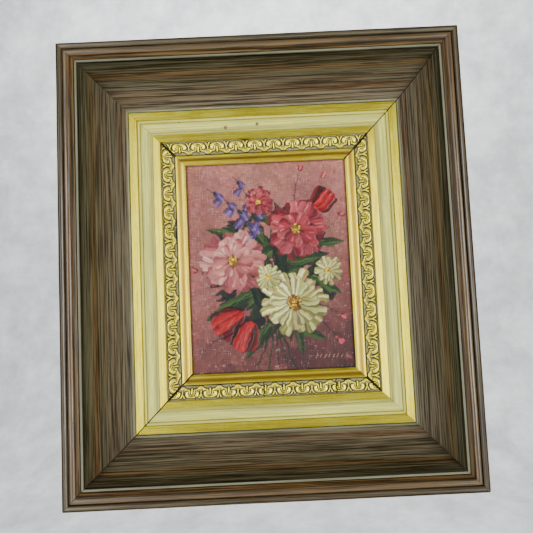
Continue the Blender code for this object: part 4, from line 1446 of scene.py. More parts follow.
# %% [markdown]
# A stroke of a flat brush is a band along a curve. Its bristles leave streaks, its edges pile up, it runs dry
# towards its end, and its two sides may carry two colours. How far a dab lies along the stroke and across it
# says how much paint it gets.

# %% One brush stroke
BRISTLES = 9
SAMPLES_PER_MM = 1.6


def curve_through(points, count):
    """Points along a smooth curve with the given control points, in millimetres from the picture's middle."""
    points = [np.array(p, dtype=float) for p in points]
    t = np.linspace(0.0, 1.0, count)[:, None]
    while len(points) > 1:
        points = [a * (1 - t) + b * t for a, b in zip(points[:-1], points[1:])]
    return np.broadcast_to(points[0], (count, 2))


def stroke(points, width, first, second, load=0.5, dry=0.25, taper=0.5, cover=0.95):
    """Drags a flat brush along a curve. Its two edges carry two colours."""
    span = sum(math.dist(a, b) for a, b in zip(points[:-1], points[1:]))
    path = curve_through(points, max(5, round(span * SAMPLES_PER_MM)))
    low, high = path.min(0) - width, path.max(0) + width
    column_low = max(0, int((low[0] + BOARD_WIDTH * 500) * DABS_PER_MM))
    column_high = min(COLUMNS, int((high[0] + BOARD_WIDTH * 500) * DABS_PER_MM) + 1)
    row_low = max(0, int((low[1] + BOARD_HEIGHT * 500) * DABS_PER_MM))
    row_high = min(ROWS, int((high[1] + BOARD_HEIGHT * 500) * DABS_PER_MM) + 1)
    bristle = HANDS.random(BRISTLES)
    lean = HANDS.uniform(-0.25, 0.25)
    if column_high <= column_low or row_high <= row_low:
        return
    x = (np.arange(column_low, column_high) + 0.5) / DABS_PER_MM - BOARD_WIDTH * 500
    z = (np.arange(row_low, row_high) + 0.5) / DABS_PER_MM - BOARD_HEIGHT * 500
    x, z = np.meshgrid(x, z)
    away = np.stack([x, z], -1)[..., None, :] - path
    nearest = (away**2).sum(-1).argmin(-1)
    tangent = np.gradient(path, axis=0)
    tangent /= np.maximum(np.linalg.norm(tangent, axis=1, keepdims=True), 1e-9)
    delta = np.take_along_axis(away, nearest[..., None, None].repeat(2, -1), -2)[..., 0, :]
    along = tangent[nearest]
    reach = (delta * along).sum(-1)
    spacing = max(span / (len(path) - 1), 0.05)
    share = np.clip((nearest + reach / spacing) / (len(path) - 1), 0.0, 1.0)
    past_end = np.where(nearest == 0, -reach, 0.0) + np.where(nearest == len(path) - 1, reach, 0.0)
    past_end = np.clip(past_end, 0.0, None)
    half = width / 2 * np.clip(1.0 - taper * share**2, 0.1, 1.0)
    side = (along[..., 0] * delta[..., 1] - along[..., 1] * delta[..., 0]) / half
    streak = np.interp(side + lean * share, np.linspace(-1.1, 1.1, BRISTLES), bristle)
    from_middle = np.hypot(side, past_end / (half * 0.8)) + 0.10 * (streak - 0.5)
    mask = np.clip((1.0 - from_middle) * np.maximum(half * 3.2, 2.4), 0.0, 1.0)
    mask *= np.clip((streak - dry * share**2) * 6.0 + 0.6, 0.0, 1.0) * cover
    blend = np.clip(0.5 + 0.45 * side + 0.7 * (streak - 0.5), 0.0, 1.0)[..., None]
    colour = (first * (1.0 - blend) + second * blend) * (0.84 + 0.32 * streak[..., None])
    colour = colour * (1.0 + HANDS.normal(0.0, 0.05, 3))
    window = (slice(row_low, row_high), slice(column_low, column_high))
    ridge = np.exp(-(((np.abs(side) - 0.82) / 0.18) ** 2))
    standing = load * (0.35 + 0.45 * streak + 0.35 * ridge)
    colour_there[window] += (colour - colour_there[window]) * mask[..., None]
    body_there[window] += (standing - body_there[window] * 0.55) * mask


print("a brush of", BRISTLES, "bristles")

# %% [markdown]
# The ground goes on first, in broad crossing strokes that leave the weave showing. It is lighter where the
# light falls, at the top, and deep mauve in the lower corners.

# %% The ground
GROUND_STROKES = 620


def ground_at(x, z):
    """The ground's colour at a place, in millimetres from the picture's middle."""
    glow = np.clip(0.25 + z / 110 + 0.20 * math.sin(x / 11 + z / 17), 0.0, 1.0)
    depth = np.clip(-z / 66 + x / 150 - 0.10 + 0.10 * math.sin(x / 7), 0.0, 1.0)
    base = GROUND * (1 - glow) + GROUND_LIGHT * glow
    return base * (1 - depth) + GROUND_DEEP * depth


for _ in range(GROUND_STROKES):
    x, z = HANDS.uniform(-50, 50), HANDS.uniform(-64, 64)
    turn, length = HANDS.choice([0.4, 1.2, -0.9]) + HANDS.normal(0, 0.3), HANDS.uniform(9, 18)
    ahead = np.array([math.cos(turn), math.sin(turn)]) * length / 2
    tone = ground_at(x, z) * HANDS.uniform(0.94, 1.06)
    bend = HANDS.normal(0, 1.5, 2)
    place = np.array([x, z])
    line = [place - ahead, place + bend, place + ahead]
    stroke(line, HANDS.uniform(4, 9), tone * 0.96, tone * 1.04, 0.08, 0.1, 0.2, 0.7)
print("ground laid in", GROUND_STROKES, "strokes")

# %% [markdown]
# Painters build flowers from a few kinds of stroke: a leaf is two halves and a few veins, a petal is a fan of
# strokes pulled towards the heart. What faces the light, at the upper left, gets the lighter paint.

# %% Leaves, stems and twigs
def polar(centre, angle, radius):
    return np.array([centre[0] + math.cos(angle) * radius, centre[1] + math.sin(angle) * radius])


def leaf(base, tip, width, light=LEAF_LIGHT, middle=LEAF, dark=LEAF_DARK):
    """A pointed leaf: a dark half, a lighter half and a few veins."""
    base, tip = np.array(base, dtype=float), np.array(tip, dtype=float)
    across = np.array([-(tip - base)[1], (tip - base)[0]]) / max(math.dist(base, tip), 0.1)
    for side, first, second in ((1, dark, middle), (-1, middle, light)):
        for share in (0.75, 0.30):
            belly = (base + tip) / 2 + across * side * width * share
            stroke([base, belly, tip], width * 0.62, first, second, 0.45, 0.1, 0.75)
    stroke([base, (base + tip) / 2 + across * width * 0.1, tip], 0.7, dark, dark, 0.1, 0.0, 0.5)
    for share in (0.35, 0.55, 0.72):
        start = base + (tip - base) * share
        for side in (1, -1):
            vein = start + (tip - base) * 0.16 + across * side * width * 0.4
            stroke([start, vein], 0.5, light, middle, 0.15, 0.4, 0.6, 0.6)


def stem(points, width):
    stroke(points, width, LEAF_DARK, LEAF, 0.35, 0.1, 0.35)


def twig(points, hairs, hair_length, colour=BARK):
    """A thin dark twig with short hairs on alternate sides."""
    stroke(points, 0.7, colour, colour, 0.25, 0.1, 0.6)
    path = curve_through(points, hairs + 2)
    for i in range(1, hairs + 1):
        ahead = path[i + 1] - path[i]
        turn = math.atan2(ahead[1], ahead[0]) + (0.9 if i % 2 else -0.8)
        hair = polar(path[i], turn, hair_length * (1.2 - i / hairs * 0.6))
        stroke([path[i], hair], 0.55, colour, colour, 0.2, 0.3, 0.7)


# %% Flowers
SUN = math.radians(125)
PETAL_LOAD = 0.9


def petal_fan(centre, angle, spread, inner, outer, width, strokes, dark, middle, light):
    """One broad petal: strokes pulled from its rim towards the flower's heart, from the shaded side over."""
    shade = dark * 0.7 + middle * 0.3
    for share in (-0.52, 0.52):
        start, end = polar(centre, angle + spread * share, outer * 0.86), polar(centre, angle, inner)
        bend = polar(centre, angle + spread * share * 0.9, outer * 0.5)
        stroke([start, bend, end], width, dark, shade, 0.3, 0.1, 0.6)
    for i in range(strokes):
        share = (i + 0.5) / strokes - 0.5
        turn = angle + spread * share * 0.92 + HANDS.normal(0, 0.03)
        rim = outer * (1.0 - 0.95 * share**2 - 0.05 * math.cos(share * 9)) * HANDS.uniform(0.92, 1.03)
        start, end = polar(centre, turn, rim), polar(centre, angle + spread * share * 0.30, inner)
        bend = polar(centre, turn + 0.22 * math.copysign(1, share), (rim + inner) * 0.55)
        tone = middle * (0.5 - share) + light * (0.5 + share)
        other = shade if i % 3 == 0 else middle
        stroke([start, bend, end], width * HANDS.uniform(0.7, 1.1), tone, other, PETAL_LOAD, 0.45, 0.55)
    for share in HANDS.uniform(-0.3, 0.35, 2):
        start = polar(centre, angle + spread * share, outer * 0.9)
        end = polar(centre, angle + spread * share * 0.7, outer * 0.6)
        stroke([start, end], width * 0.32, light, light * 1.08, PETAL_LOAD * 1.3, 0.6, 0.3, 0.7)
    for share in (-0.1, 0.14):
        start = polar(centre, angle + spread * share * 0.4, inner)
        end = polar(centre, angle + spread * share, outer * 0.45)
        stroke([start, end], width * 0.45, dark, shade, 0.3, 0.3, 0.8, 0.8)


def heart(centre, radius, dabs):
    """A flower's middle: a dark disc with thick bright dabs."""
    for i in range(8):
        turn = i * math.tau / 8
        start, end = polar(centre, turn, radius * 0.75), polar(centre, turn + 1.2, radius * 0.35)
        stroke([start, end], radius * 0.9, BARK, OCHRE, 0.4)
    for i in range(dabs):
        place = polar(centre, HANDS.uniform(0, math.tau), radius * math.sqrt(HANDS.random()) * 0.9)
        end = place + HANDS.normal(0, 0.35, 2) + (0.0, 0.3)
        stroke([place, end], 0.9, YELLOW, OCHRE if i % 3 == 0 else YELLOW, 1.3, 0.0)


def in_light(angle, dark, middle, light):
    """The three tones of a petal, by how far it turns towards the light from the upper left."""
    lit = 0.5 + 0.5 * math.cos(angle - SUN)
    low, high = 0.35 + 0.65 * lit, 0.25 + 0.75 * lit
    return dark, dark * (1 - low) + middle * low, middle * (1 - high) + light * high


def open_blossom(centre, radius, petals, turn, dark, middle, light, squash=1.0):
    """A wide open flower of broad, overlapping petals in two rows."""
    for i in range(14):
        start = polar(centre, i * math.tau / 14 + HANDS.normal(0, 0.1), radius * HANDS.uniform(0.8, 0.98))
        stroke([start, centre], radius * 0.3, dark, dark * 0.7 + middle * 0.3, 0.3, 0.2, 0.4)
    for reach, shift in ((1.0, 0.0), (0.62, 0.5)):
        for i in range(petals):
            angle = turn + (i + shift) * math.tau / petals + HANDS.normal(0, 0.10)
            squashed = squash + (1 - squash) * abs(math.cos(angle))
            outer = radius * reach * squashed * HANDS.uniform(0.84, 1.06)
            spread = math.tau / petals * HANDS.uniform(0.80, 0.98)
            tones = in_light(angle, dark, middle, light)
            petal_fan(centre, angle, spread, radius * 0.12, outer, radius * 0.25, 5, *tones)
    heart(centre, radius * 0.17, 16)


def daisy(centre, radius, petals, turn):
    """Long narrow petals, each of two strokes, round a yellow heart."""
    for row, reach in enumerate((1.0, 0.74)):
        for i in range(petals):
            angle = turn + (i + row * 0.5) * math.tau / petals + HANDS.normal(0, 0.08)
            outer = radius * reach * HANDS.uniform(0.84, 1.06)
            width = math.tau * radius / petals * HANDS.uniform(0.48, 0.68)
            deep, half_tone, bright = in_light(angle, CREAM_DARK, CREAM_SHADE, CREAM_WHITE)
            root = polar(centre, angle, radius * 0.2)
            bend = polar(centre, angle + HANDS.normal(0.08, 0.10), outer * 0.55)
            tip = polar(centre, angle - 0.05, outer * 0.97)
            stroke([tip, bend, root], width * 1.2, deep, half_tone, 0.4, 0.1, 0.5)
            tip = polar(centre, angle + 0.04, outer)
            stroke([tip, bend, root], width * 0.75, half_tone, bright, 1.0, 0.35, 0.5)
    heart(centre, radius * 0.24, 26)


TULIP_PETALS = [
    (-0.5, CRIMSON_DARK, CRIMSON),
    (0.5, CRIMSON_DARK, CRIMSON),
    (-0.28, CRIMSON, CRIMSON_DARK),
    (0.28, CRIMSON, CRIMSON_LIGHT),
    (0.0, CRIMSON, CRIMSON_LIGHT),
]


def tulip(base, turn, length):
    """A closed cup of upright petals."""
    for share, tone, edge in TULIP_PETALS:
        tip = polar(base, turn - share * 0.75, length * (1.0 - 0.12 * abs(share)))
        belly = polar(base, turn - share * 1.9, length * 0.55)
        stroke([tip, belly, base], length * 0.34, edge, tone, 0.9, 0.25, 0.35)
    for share in (-0.16, 0.12, 0.3):
        tip = polar(base, turn - share, length * 0.86)
        end = polar(base, turn - share * 0.6, length * 0.35)
        stroke([tip, end], length * 0.07, CRIMSON_LIGHT, CRIMSON, 0.7, 0.6, 0.5)


def bell_spray(points, bells, size):
    """A bending stem hung with small violet bells."""
    stem(points, 0.9)
    path = curve_through(points, bells + 3)
    for i in range(bells):
        place = path[i + 2]
        turn = -1.57 + (0.7 if i % 2 else -0.7)
        for spread in (-0.30, 0.30, 0.0):
            end = polar(place, turn + spread, size * (1.25 - 0.05 * i))
            belly = polar(place, turn + spread * 1.6, size * 0.55)
            first = VIOLET_DARK if spread < 0 else VIOLET
            second = VIOLET_LIGHT if spread == 0.0 else VIOLET
            stroke([place, belly, end], size * 0.34, first, second, 0.9, 0.2, 0.0)
        stroke([place, polar(place, turn, size * 0.4)], size * 0.3, LEAF_DARK, LEAF, 0.4)


# %% [markdown]
# The posy is built from the back to the front: twigs and stems, the darkest leaves, then the flowers from
# the farthest to the nearest. Strokes that lie over each other say what is in front, as on a real canvas, so
# nothing has to be cut out.

# %% The posy
for end in ((-9, -57), (-3, -59), (3, -58), (8, -56), (13, -58)):
    stem([(2, -14), (1, -34), end], 1.5)
for bend, end in (((24, 30), (33, 49)), ((30, 12), (41, 26)), ((18, 40), (20, 54)), ((-24, -8), (-41, -2))):
    twig([(2, 2), bend, end], 11, 3.2)
for bend, end in (((26, -22), (39, -30)), ((28, -30), (36, -43)), ((-27, -38), (-38, -46))):
    twig([(4, -16), bend, end], 9, 3.6, LEAF_DARK)

FOLIAGE_DABS = 280
for _ in range(FOLIAGE_DABS):
    turn, away = HANDS.uniform(0, math.tau), math.sqrt(HANDS.random())
    place = np.array([2 + 33 * away * math.cos(turn), -4 + 37 * away * math.sin(turn)])
    ahead = polar(place, turn + HANDS.normal(0, 0.7), HANDS.uniform(4, 8))
    tones = [LEAF_DARK, LEAF_DARK, LEAF, LEAF * 0.5 + BARK * 0.5]
    tone = tones[HANDS.integers(len(tones))]
    bend = (place + ahead) / 2 + HANDS.normal(0, 1.0, 2)
    stroke([place, bend, ahead], HANDS.uniform(2.5, 5.0), tone, LEAF_DARK, 0.4, 0.2, 0.7)
LEAVES = [
    ((0, 8), (-12, 26), 5.0), ((4, 8), (3, 30), 5.0), ((10, 2), (30, 4), 5.5), ((-6, -4), (-36, -9), 5.0),
    ((-8, -14), (-37, -30), 5.5), ((6, -30), (30, -44), 5.5), ((-2, -34), (-16, -53), 5.0),
    ((24, -8), (40, -18), 5.0), ((-12, 16), (-36, 22), 4.5), ((20, 34), (38, 38), 4.0),
    ((0, 24), (-9, 38), 4.0), ((14, -32), (17, -52), 4.5), ((30, 12), (43, 12), 3.8),
    ((-6, 4), (8, 12), 6.0), ((-4, -16), (-14, -24), 6.0), ((2, -6), (18, -2), 6.0),
]
SHADED_LEAVES = [
    ((0, -12), (-3, 6)), ((-4, -22), (2, -8)), ((8, -6), (2, 10)), ((-10, -14), (-2, -26)),
    ((4, 12), (12, 4)),
]
for base, tip, width in LEAVES:
    leaf(base, tip, width)
for base, tip in SHADED_LEAVES:
    leaf(base, tip, 6.0, LEAF, LEAF_DARK, LEAF_DARK * 0.6)
print(len(LEAVES) + len(SHADED_LEAVES), "leaves over", FOLIAGE_DABS, "dabs of foliage")

bell_spray([(-4, 12), (-14, 34), (-34, 46)], 8, 6.0)
bell_spray([(-2, 14), (-8, 40), (-20, 53)], 6, 5.0)
tulip((-17, -27), 3.7, 17)
tulip((-12, -33), 4.3, 15)
tulip((27, 30), 0.9, 14)
daisy((33, -4), 8.0, 12, 0.3)
open_blossom((-5, 37), 8.5, 5, 0.6, ROSE_DARK, ROSE, ROSE_LIGHT)
open_blossom((16, 20), 17.0, 5, 0.25, ROSE_DARK, ROSE, ROSE_LIGHT, 0.92)
open_blossom((-21, 3), 18.0, 6, 0.9, PINK_DARK, PINK, PINK_LIGHT, 0.9)
daisy((13, -22), 18.0, 17, 0.1)
daisy((-1, -7), 7.5, 12, 0.5)
BUDS = [
    ((33, 49), 1.1), ((41, 26), 0.9), ((20, 54), 1.5),
    ((-41, -2), 2.8), ((39, -30), -0.5), ((36, -43), -1.0),
]
for place, turn in BUDS:
    for share in (-0.35, 0.35, 0.0):
        first = ROSE_DARK if share < 0 else ROSE
        second = ROSE_LIGHT if share == 0.0 else ROSE
        stroke([polar(place, turn + share, 3.6), place], 1.7, first, second, 0.8, 0.2, -0.2)
    for share in (-0.7, 0.7):
        stroke([polar(place, turn + share, 2.0), place], 0.9, LEAF_DARK, LEAF, 0.4)
print(len(BUDS), "buds on the twigs")

# %% [markdown]
# Curves from a formula look cut out with scissors. So at the end the wet paint is pushed about by less than a
# millimetre or so, as an unsteady brush would do, and made a little uneven. A short row of pale slanted
# strokes is added last, at the lower right.

# %% Loose edges
LOOSENESS = 0.42


def soft_noise(step):
    """Smooth noise over the canvas, with a swell every `step` millimetres."""
    rows, columns = np.arange(ROWS) / (step * DABS_PER_MM), np.arange(COLUMNS) / (step * DABS_PER_MM)
    swells = HANDS.normal(0.0, 1.0, (int(rows[-1]) + 2, int(columns[-1]) + 2))
    i, j = rows.astype(int), columns.astype(int)
    a, b = rows - i, columns - j
    a, b = (a * a * (3 - 2 * a))[:, None], b * b * (3 - 2 * b)
    low = swells[i][:, j] * (1 - b) + swells[i][:, j + 1] * b
    high = swells[i + 1][:, j] * (1 - b) + swells[i + 1][:, j + 1] * b
    return low * (1 - a) + high * a


drift = [LOOSENESS * DABS_PER_MM * (soft_noise(6.0) + 0.6 * soft_noise(2.2)) for _ in range(2)]
from_row = np.clip(np.arange(ROWS)[:, None] + drift[0], 0, ROWS - 1).astype(int)
from_column = np.clip(np.arange(COLUMNS)[None, :] + drift[1], 0, COLUMNS - 1).astype(int)
unevenness = 1.0 + 0.07 * soft_noise(2.5) + 0.05 * soft_noise(9.0)
colour_there = colour_there[from_row, from_column] * unevenness[..., None]
body_there = body_there[from_row, from_column]
MARK_PLACE, MARK_STROKES = (24.0, -54.0), 7
for i in range(MARK_STROKES):
    x, z = MARK_PLACE[0] + i * 2.4, MARK_PLACE[1] + (i % 2) * 0.5
    stroke([(x, z), (x + 0.9, z + 1.7)], 0.45, CREAM_SHADE, PINK, 0.5, 0.2, 0.2, 0.7)
print("thickest paint", round(float(body_there.max()), 2), "of a load")

# %% [markdown]
# The two arrays become the face of the board. The grid of the mesh is fine where the picture shows and coarse
# under the lip of the frame, and thick paint stands out of the canvas. The canvas is wrapped round the edges
# of a grey card, which is what shows from behind.

# %% The painted board
FILM_STEP = 0.00038
FILM_THICKNESS = 0.00042
FILM_EDGE = 0.0016
SIGHT_X, SIGHT_Z = HALF_WIDTH - RAIL_WIDTH, HALF_HEIGHT - RAIL_WIDTH
RIM_STEPS = 3
CARD_ARRIS = 0.0003
LIP_SHADOW_REACH = 0.0007
WARP, WEFT = (1500.0, 1.0, 260.0), (260.0, 1.0, 1500.0)


def film_lines(half_board, half_sight):
    """Grid lines across the board: coarse under the lip, fine where the picture shows."""
    fine = half_sight + FILM_EDGE / 2
    middle = np.linspace(-fine, fine, round(2 * fine / FILM_STEP) + 1)
    edge = np.linspace(fine, half_board, RIM_STEPS + 1)[1:]
    return np.concatenate([-edge[::-1], middle, edge])


def sampled(values, x, z):
    """Reads a painted array at places on the board, between its dabs."""
    column = np.clip((x + BOARD_WIDTH / 2) * 1000 * DABS_PER_MM - 0.5, 0, COLUMNS - 1.001)
    row = np.clip((z + BOARD_HEIGHT / 2) * 1000 * DABS_PER_MM - 0.5, 0, ROWS - 1.001)
    i, j = row.astype(int), column.astype(int)
    a, b = row - i, column - j
    if values.ndim == 3:
        a, b = a[..., None], b[..., None]
    low = values[i, j] * (1 - b) + values[i, j + 1] * b
    high = values[i + 1, j] * (1 - b) + values[i + 1, j + 1] * b
    return low * (1 - a) + high * a


def painted_board():
    """The board as one closed mesh: painted face, wrapped edges and card back."""
    xs = film_lines(BOARD_WIDTH / 2, SIGHT_X)
    zs = film_lines(BOARD_HEIGHT / 2, SIGHT_Z)
    x, z = np.meshgrid(xs, zs, indexing="ij")
    inside = np.minimum(SIGHT_X - np.abs(x), SIGHT_Z - np.abs(z))
    shown = np.clip(inside / FILM_EDGE + 0.5, 0.0, 1.0)
    body = sampled(body_there, x, z)
    face = BOARD_LOW.y - FILM_THICKNESS * np.clip(body, 0.0, 1.6) * shown
    middle = (BOARD_LOW + BOARD_HIGH) / 2
    points = np.stack([x + middle.x, face, z + middle.z], -1).reshape(-1, 3)
    wide, tall = len(xs), len(zs)
    corner = (np.arange(wide - 1)[:, None] * tall + np.arange(tall - 1)[None, :]).ravel()
    faces = np.stack([corner, corner + tall, corner + tall + 1, corner + 1], -1)
    rim = [i * tall for i in range(wide)] + [(wide - 1) * tall + j for j in range(1, tall)]
    rim += [i * tall + tall - 1 for i in range(wide - 2, -1, -1)] + list(range(tall - 2, 0, -1))
    side_at = len(points)
    edge = points[rim]
    near, far = edge.copy(), edge.copy()
    near[:, 1] = BOARD_HIGH.y - CARD_ARRIS
    far[:, 0] -= np.sign(far[:, 0] - middle.x) * CARD_ARRIS
    far[:, 2] -= np.sign(far[:, 2] - middle.z) * CARD_ARRIS
    far[:, 1] = BOARD_HIGH.y
    hub = np.array([[middle.x, BOARD_HIGH.y, middle.z]])
    points = np.concatenate([points, near, far, hub])
    count = len(rim)
    rows = faces.tolist()
    for i in range(count):
        after = (i + 1) % count
        rows.append((rim[i], side_at + i, side_at + after, rim[after]))
        rows.append((side_at + i, side_at + count + i, side_at + count + after, side_at + after))
        rows.append((side_at + count + i, side_at + 2 * count, side_at + count + after))
    mesh = bpy.data.meshes.new("painted board")
    mesh.from_pydata(points.tolist(), [], rows)
    painted = np.ones((len(points), 4), dtype=np.float32)
    there = points[:, 0] - middle.x, points[:, 2] - middle.z
    painted[:, :3] = sampled(colour_there, *there)
    # Painted shadow: the canvas darkens in a thin line all round the lip.
    from_lip = np.minimum(SIGHT_X - np.abs(there[0]), SIGHT_Z - np.abs(there[1])) / LIP_SHADOW_REACH
    painted[:, :3] *= 1.0 - 0.75 * np.exp(-(np.clip(from_lip, 0.0, None)[:, None] ** 2))
    mesh.attributes.new("paint", "FLOAT_COLOR", "POINT").data.foreach_set("color", painted.ravel())
    keep_numbers(mesh, "body", sampled(body_there, *there))
    front = len(faces)
    parts = np.ones(len(rows), dtype=np.int32)
    parts[:front] = 0
    mesh.polygons.foreach_set("material_index", parts)
    mesh.polygons.foreach_set("use_smooth", parts == 0)
    sheet = mesh.uv_layers.new(name="OFBake")
    loop_points = np.empty(len(mesh.loops), dtype=np.int32)
    mesh.loops.foreach_get("vertex_index", loop_points)
    u = (points[loop_points, 0] - middle.x) / BOARD_WIDTH + 0.5
    v = (points[loop_points, 2] - middle.z) / BOARD_HEIGHT + 0.5
    behind = np.arange(len(loop_points)) >= front * 4
    spread = np.stack([0.005 + 0.99 * u, np.where(behind, 0.005 + 0.08 * v, 0.10 + 0.895 * v)], -1)
    sheet.data.foreach_set("uv", spread.astype(np.float32).ravel())
    return mesh


board_mesh = painted_board()
print("painted board:", len(board_mesh.polygons), "faces")

# %% [markdown]
# Oil paint shines where it is thick. Where it is thin the weave shows. Both arrays are on the mesh now, so the
# material only has to read them. The threads are two sets of stretched noise that cross each other.

# %% Paint and card
def oil_paint():
    """Oil paint on canvas: the weave shows where the paint is thin, and thick paint shines a little more."""
    made, tree, shader = new_material("oil paint")
    paint = put(tree, "ShaderNodeAttribute", attribute_name="paint").outputs["Color"]
    body = number(tree, "body")
    coords = put(tree, "ShaderNodeTexCoord").outputs["Object"]
    warp, weft = (stretched_noise(tree, coords, scales, 2.0) for scales in (WARP, WEFT))
    thin = between(tree, body, 0.12, 0.70, 1.0, 0.2)
    patchy = between(tree, object_noise(tree, 160.0, 3.0), 0.3, 0.6, 0.4, 1.0)
    bare = maths(tree, "MULTIPLY", thin, patchy)
    weave = maths(tree, "SUBTRACT", maths(tree, "ADD", warp, weft), 1.0)
    woven = maths(tree, "MULTIPLY", weave, bare)
    shade = between(tree, woven, -0.22, 0.22, 0.80, 1.18)
    grey = put(tree, "ShaderNodeCombineColor", {0: shade, 1: shade, 2: shade}).outputs[0]
    paint = colour_mix(tree, 1.0, paint, grey, "MULTIPLY")
    # Painted highlights on the weave: the highest threads are lightened towards a pale pink.
    painted_glints = maths(tree, "MULTIPLY", between(tree, woven, 0.17, 0.22), 0.30)
    paint = colour_mix(tree, painted_glints, paint, (0.60, 0.44, 0.40))
    tree.links.new(paint, shader.inputs["Base Color"])
    tree.links.new(between(tree, body, 0.0, 0.8, 0.58, 0.36), shader.inputs["Roughness"])
    shader.inputs["Specular IOR Level"].default_value = 0.35
    bristles = object_noise(tree, 2200.0, 2.0)
    height = maths(tree, "MULTIPLY_ADD", woven, 2.0, maths(tree, "MULTIPLY_ADD", bristles, 0.5, body))
    relief(tree, shader, height, 0.00014, 0.9)
    return made


def grey_card():
    made, tree, shader = new_material("grey card")
    fibres = mottle(tree, 900.0, (0.24, 0.21, 0.17), (0.32, 0.29, 0.24), 6.0)
    tree.links.new(fibres, shader.inputs["Base Color"])
    shader.inputs["Roughness"].default_value = 0.85
    relief(tree, shader, fibres, 0.00005, 0.5)
    return made


board_mesh.materials.append(oil_paint())
board_mesh.materials.append(grey_card())
painting = add_object("painted_board", board_mesh)
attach(painting, BODY)
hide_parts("painting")
print("painted board in", len(board_mesh.materials), "materials")

# %% [markdown]
# ## The hanger
#
# Behind the top rail a toothed steel strip stands off the wood on two nailed tabs, and a nail in the wall
# catches one of its teeth. It is pressed from thin plate, so its edges are a little rounded. The strip is
# drawn as a small rounded ring of points that travels along it, and the teeth are cut into its lower side.

# %% The toothed strip and its nails
STRIP_LOW, STRIP_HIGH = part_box("hanger")
PLATE = 0.0008
TAB, RAMP = 0.0080, 0.0030
TOOTH, TOOTH_DEPTH = 0.0020, 0.0016
PLATE_ROUND = 0.00018
PLATE_STEP = 0.0001
RING_STEPS = 4
HEAD_RADIUS, HEAD_HEIGHT, SHANK_RADIUS = 0.0018, 0.0009, 0.0006
HEAD_STEPS = 8
NAIL_DEPTH = 0.0090
LATHE_STEPS = 40


def plate_ring(low, high, wall, wood):
    """A rounded rectangle of (y, z) points: the plate cut across."""
    points = []
    corners = ((wood, high, 0), (wall, high, 1), (wall, low, 2), (wood, low, 3))
    for y, z, quarter in corners:
        sign_y = 1 if quarter in (1, 2) else -1
        sign_z = 1 if quarter in (0, 1) else -1
        middle = (y - sign_y * PLATE_ROUND, z - sign_z * PLATE_ROUND)
        for i in range(RING_STEPS + 1):
            angle = math.pi / 2 * (1 - quarter) + math.pi / 2 * (1 - i / RING_STEPS)
            out, up = PLATE_ROUND * math.cos(angle), PLATE_ROUND * math.sin(angle)
            points.append((middle[0] + out, middle[1] + up))
    return points


def hanger_mesh():
    half = (STRIP_HIGH.x - STRIP_LOW.x) / 2
    low, high = STRIP_LOW.z, STRIP_HIGH.z
    bm = bmesh.new()
    rings = []
    for i in range(round(2 * half / PLATE_STEP) + 1):
        x = -half + i * PLATE_STEP
        lifted = min(1.0, max(0.0, (half - TAB - abs(x)) / RAMP))
        lifted = lifted * lifted * (3 - 2 * lifted)
        wall = STRIP_LOW.y + PLATE + (STRIP_HIGH.y - STRIP_LOW.y - PLATE) * lifted
        notch = 0.0
        if abs(x) < half - TAB - RAMP - TOOTH / 2:
            notch = TOOTH_DEPTH * (1 - abs(((x / TOOTH) % 1.0) * 2 - 1))
        ring = plate_ring(low + notch, high, wall, wall - PLATE)
        rings.append([bm.verts.new((x, y, z)) for y, z in ring])
    for first, second in zip(rings[:-1], rings[1:]):
        for i in range(len(first)):
            j = (i + 1) % len(first)
            bm.faces.new((first[i], first[j], second[j], second[i])).smooth = True
    bm.faces.new(rings[0])
    bm.faces.new(rings[-1])
    bmesh.ops.recalc_face_normals(bm, faces=bm.faces)
    return mesh_from(bm, "toothed strip")


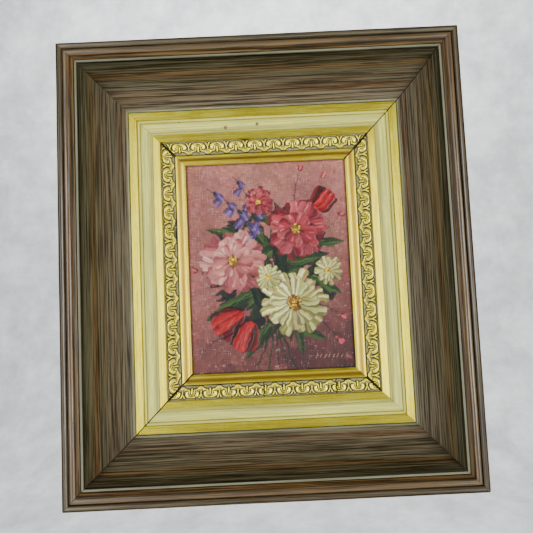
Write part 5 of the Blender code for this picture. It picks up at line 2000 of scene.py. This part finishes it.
def nail_mesh(x):
    """A nail turned on a lathe: pointed shank, thin domed head."""
    seat = STRIP_LOW.y + PLATE
    tip = STRIP_LOW.y - NAIL_DEPTH
    line = [(0.0, tip), (SHANK_RADIUS * 0.5, tip + SHANK_RADIUS), (SHANK_RADIUS, tip + 2 * SHANK_RADIUS)]
    line += [(SHANK_RADIUS, seat), (HEAD_RADIUS * 0.96, seat), (HEAD_RADIUS, seat + HEAD_HEIGHT * 0.15)]
    for i in range(HEAD_STEPS + 1):
        angle = math.pi / 2 * i / HEAD_STEPS
        line.append((HEAD_RADIUS * math.cos(angle), seat + HEAD_HEIGHT * (0.3 + 0.7 * math.sin(angle))))
    bm = bmesh.new()
    rings = []
    middle = (STRIP_LOW.z + STRIP_HIGH.z) / 2
    turns = [math.tau * i / LATHE_STEPS for i in range(LATHE_STEPS)]
    for radius, y in line:
        if radius < WELD:
            rings.append([bm.verts.new((x, y, middle))])
            continue
        ring = [(x + radius * math.cos(a), y, middle + radius * math.sin(a)) for a in turns]
        rings.append([bm.verts.new(corner) for corner in ring])
    for first, second in zip(rings[:-1], rings[1:]):
        for i in range(LATHE_STEPS):
            j = (i + 1) % LATHE_STEPS
            corners = [first[i % len(first)], first[j % len(first)]]
            corners += [second[j % len(second)], second[i % len(second)]]
            bm.faces.new(list(dict.fromkeys(corners))).smooth = True
    bmesh.ops.recalc_face_normals(bm, faces=bm.faces)
    for edge in bm.edges:
        edge.smooth = edge.calc_face_angle(0.0) < math.radians(40)
    return mesh_from(bm, "hanger nail")


print(f"teeth {TOOTH:.4f} m apart in a plate {PLATE:.4f} m thick")

# %% [markdown]
# Such hangers are steel thinly plated with brass, which dulls in clouds and is scratched lengthwise.

# %% Brass-plated steel
def plated_steel():
    """Brass-plated steel, dulled and scratched along the strip."""
    made, tree, shader = new_material("brass-plated steel")
    coords = put(tree, "ShaderNodeTexCoord").outputs["Object"]
    scratches = stretched_noise(tree, coords, (60.0, 900.0, 2600.0), 4.0)
    clouds = object_noise(tree, 420.0, 4.0)
    metal = colour_mix(tree, between(tree, clouds, 0.40, 0.66), (0.62, 0.47, 0.20), (0.40, 0.29, 0.13))
    metal = colour_mix(tree, between(tree, clouds, 0.66, 0.76, 0.0, 0.7), metal, (0.12, 0.08, 0.05))
    tree.links.new(metal, shader.inputs["Base Color"])
    shader.inputs["Metallic"].default_value = 0.95
    tree.links.new(between(tree, scratches, 0.35, 0.65, 0.26, 0.46), shader.inputs["Roughness"])
    relief(tree, shader, scratches, 0.00003, 0.5)
    return made


STEEL = plated_steel()
nail_at = (STRIP_HIGH.x - STRIP_LOW.x) / 2 - TAB / 2
METALWORK = {
    "hanger": ("toothed_strip", hanger_mesh(), "hanger"),
    "hanger_nail_left": ("left_nail", nail_mesh(-nail_at), "nails"),
    "hanger_nail_right": ("right_nail", nail_mesh(nail_at), "nails"),
}
for node, (name, mesh, slot) in METALWORK.items():
    mesh.materials.append(STEEL)
    made = add_object(name, mesh)
    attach(made, BODY)
    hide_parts(node)
    print(name + ":", len(mesh.polygons), "faces")
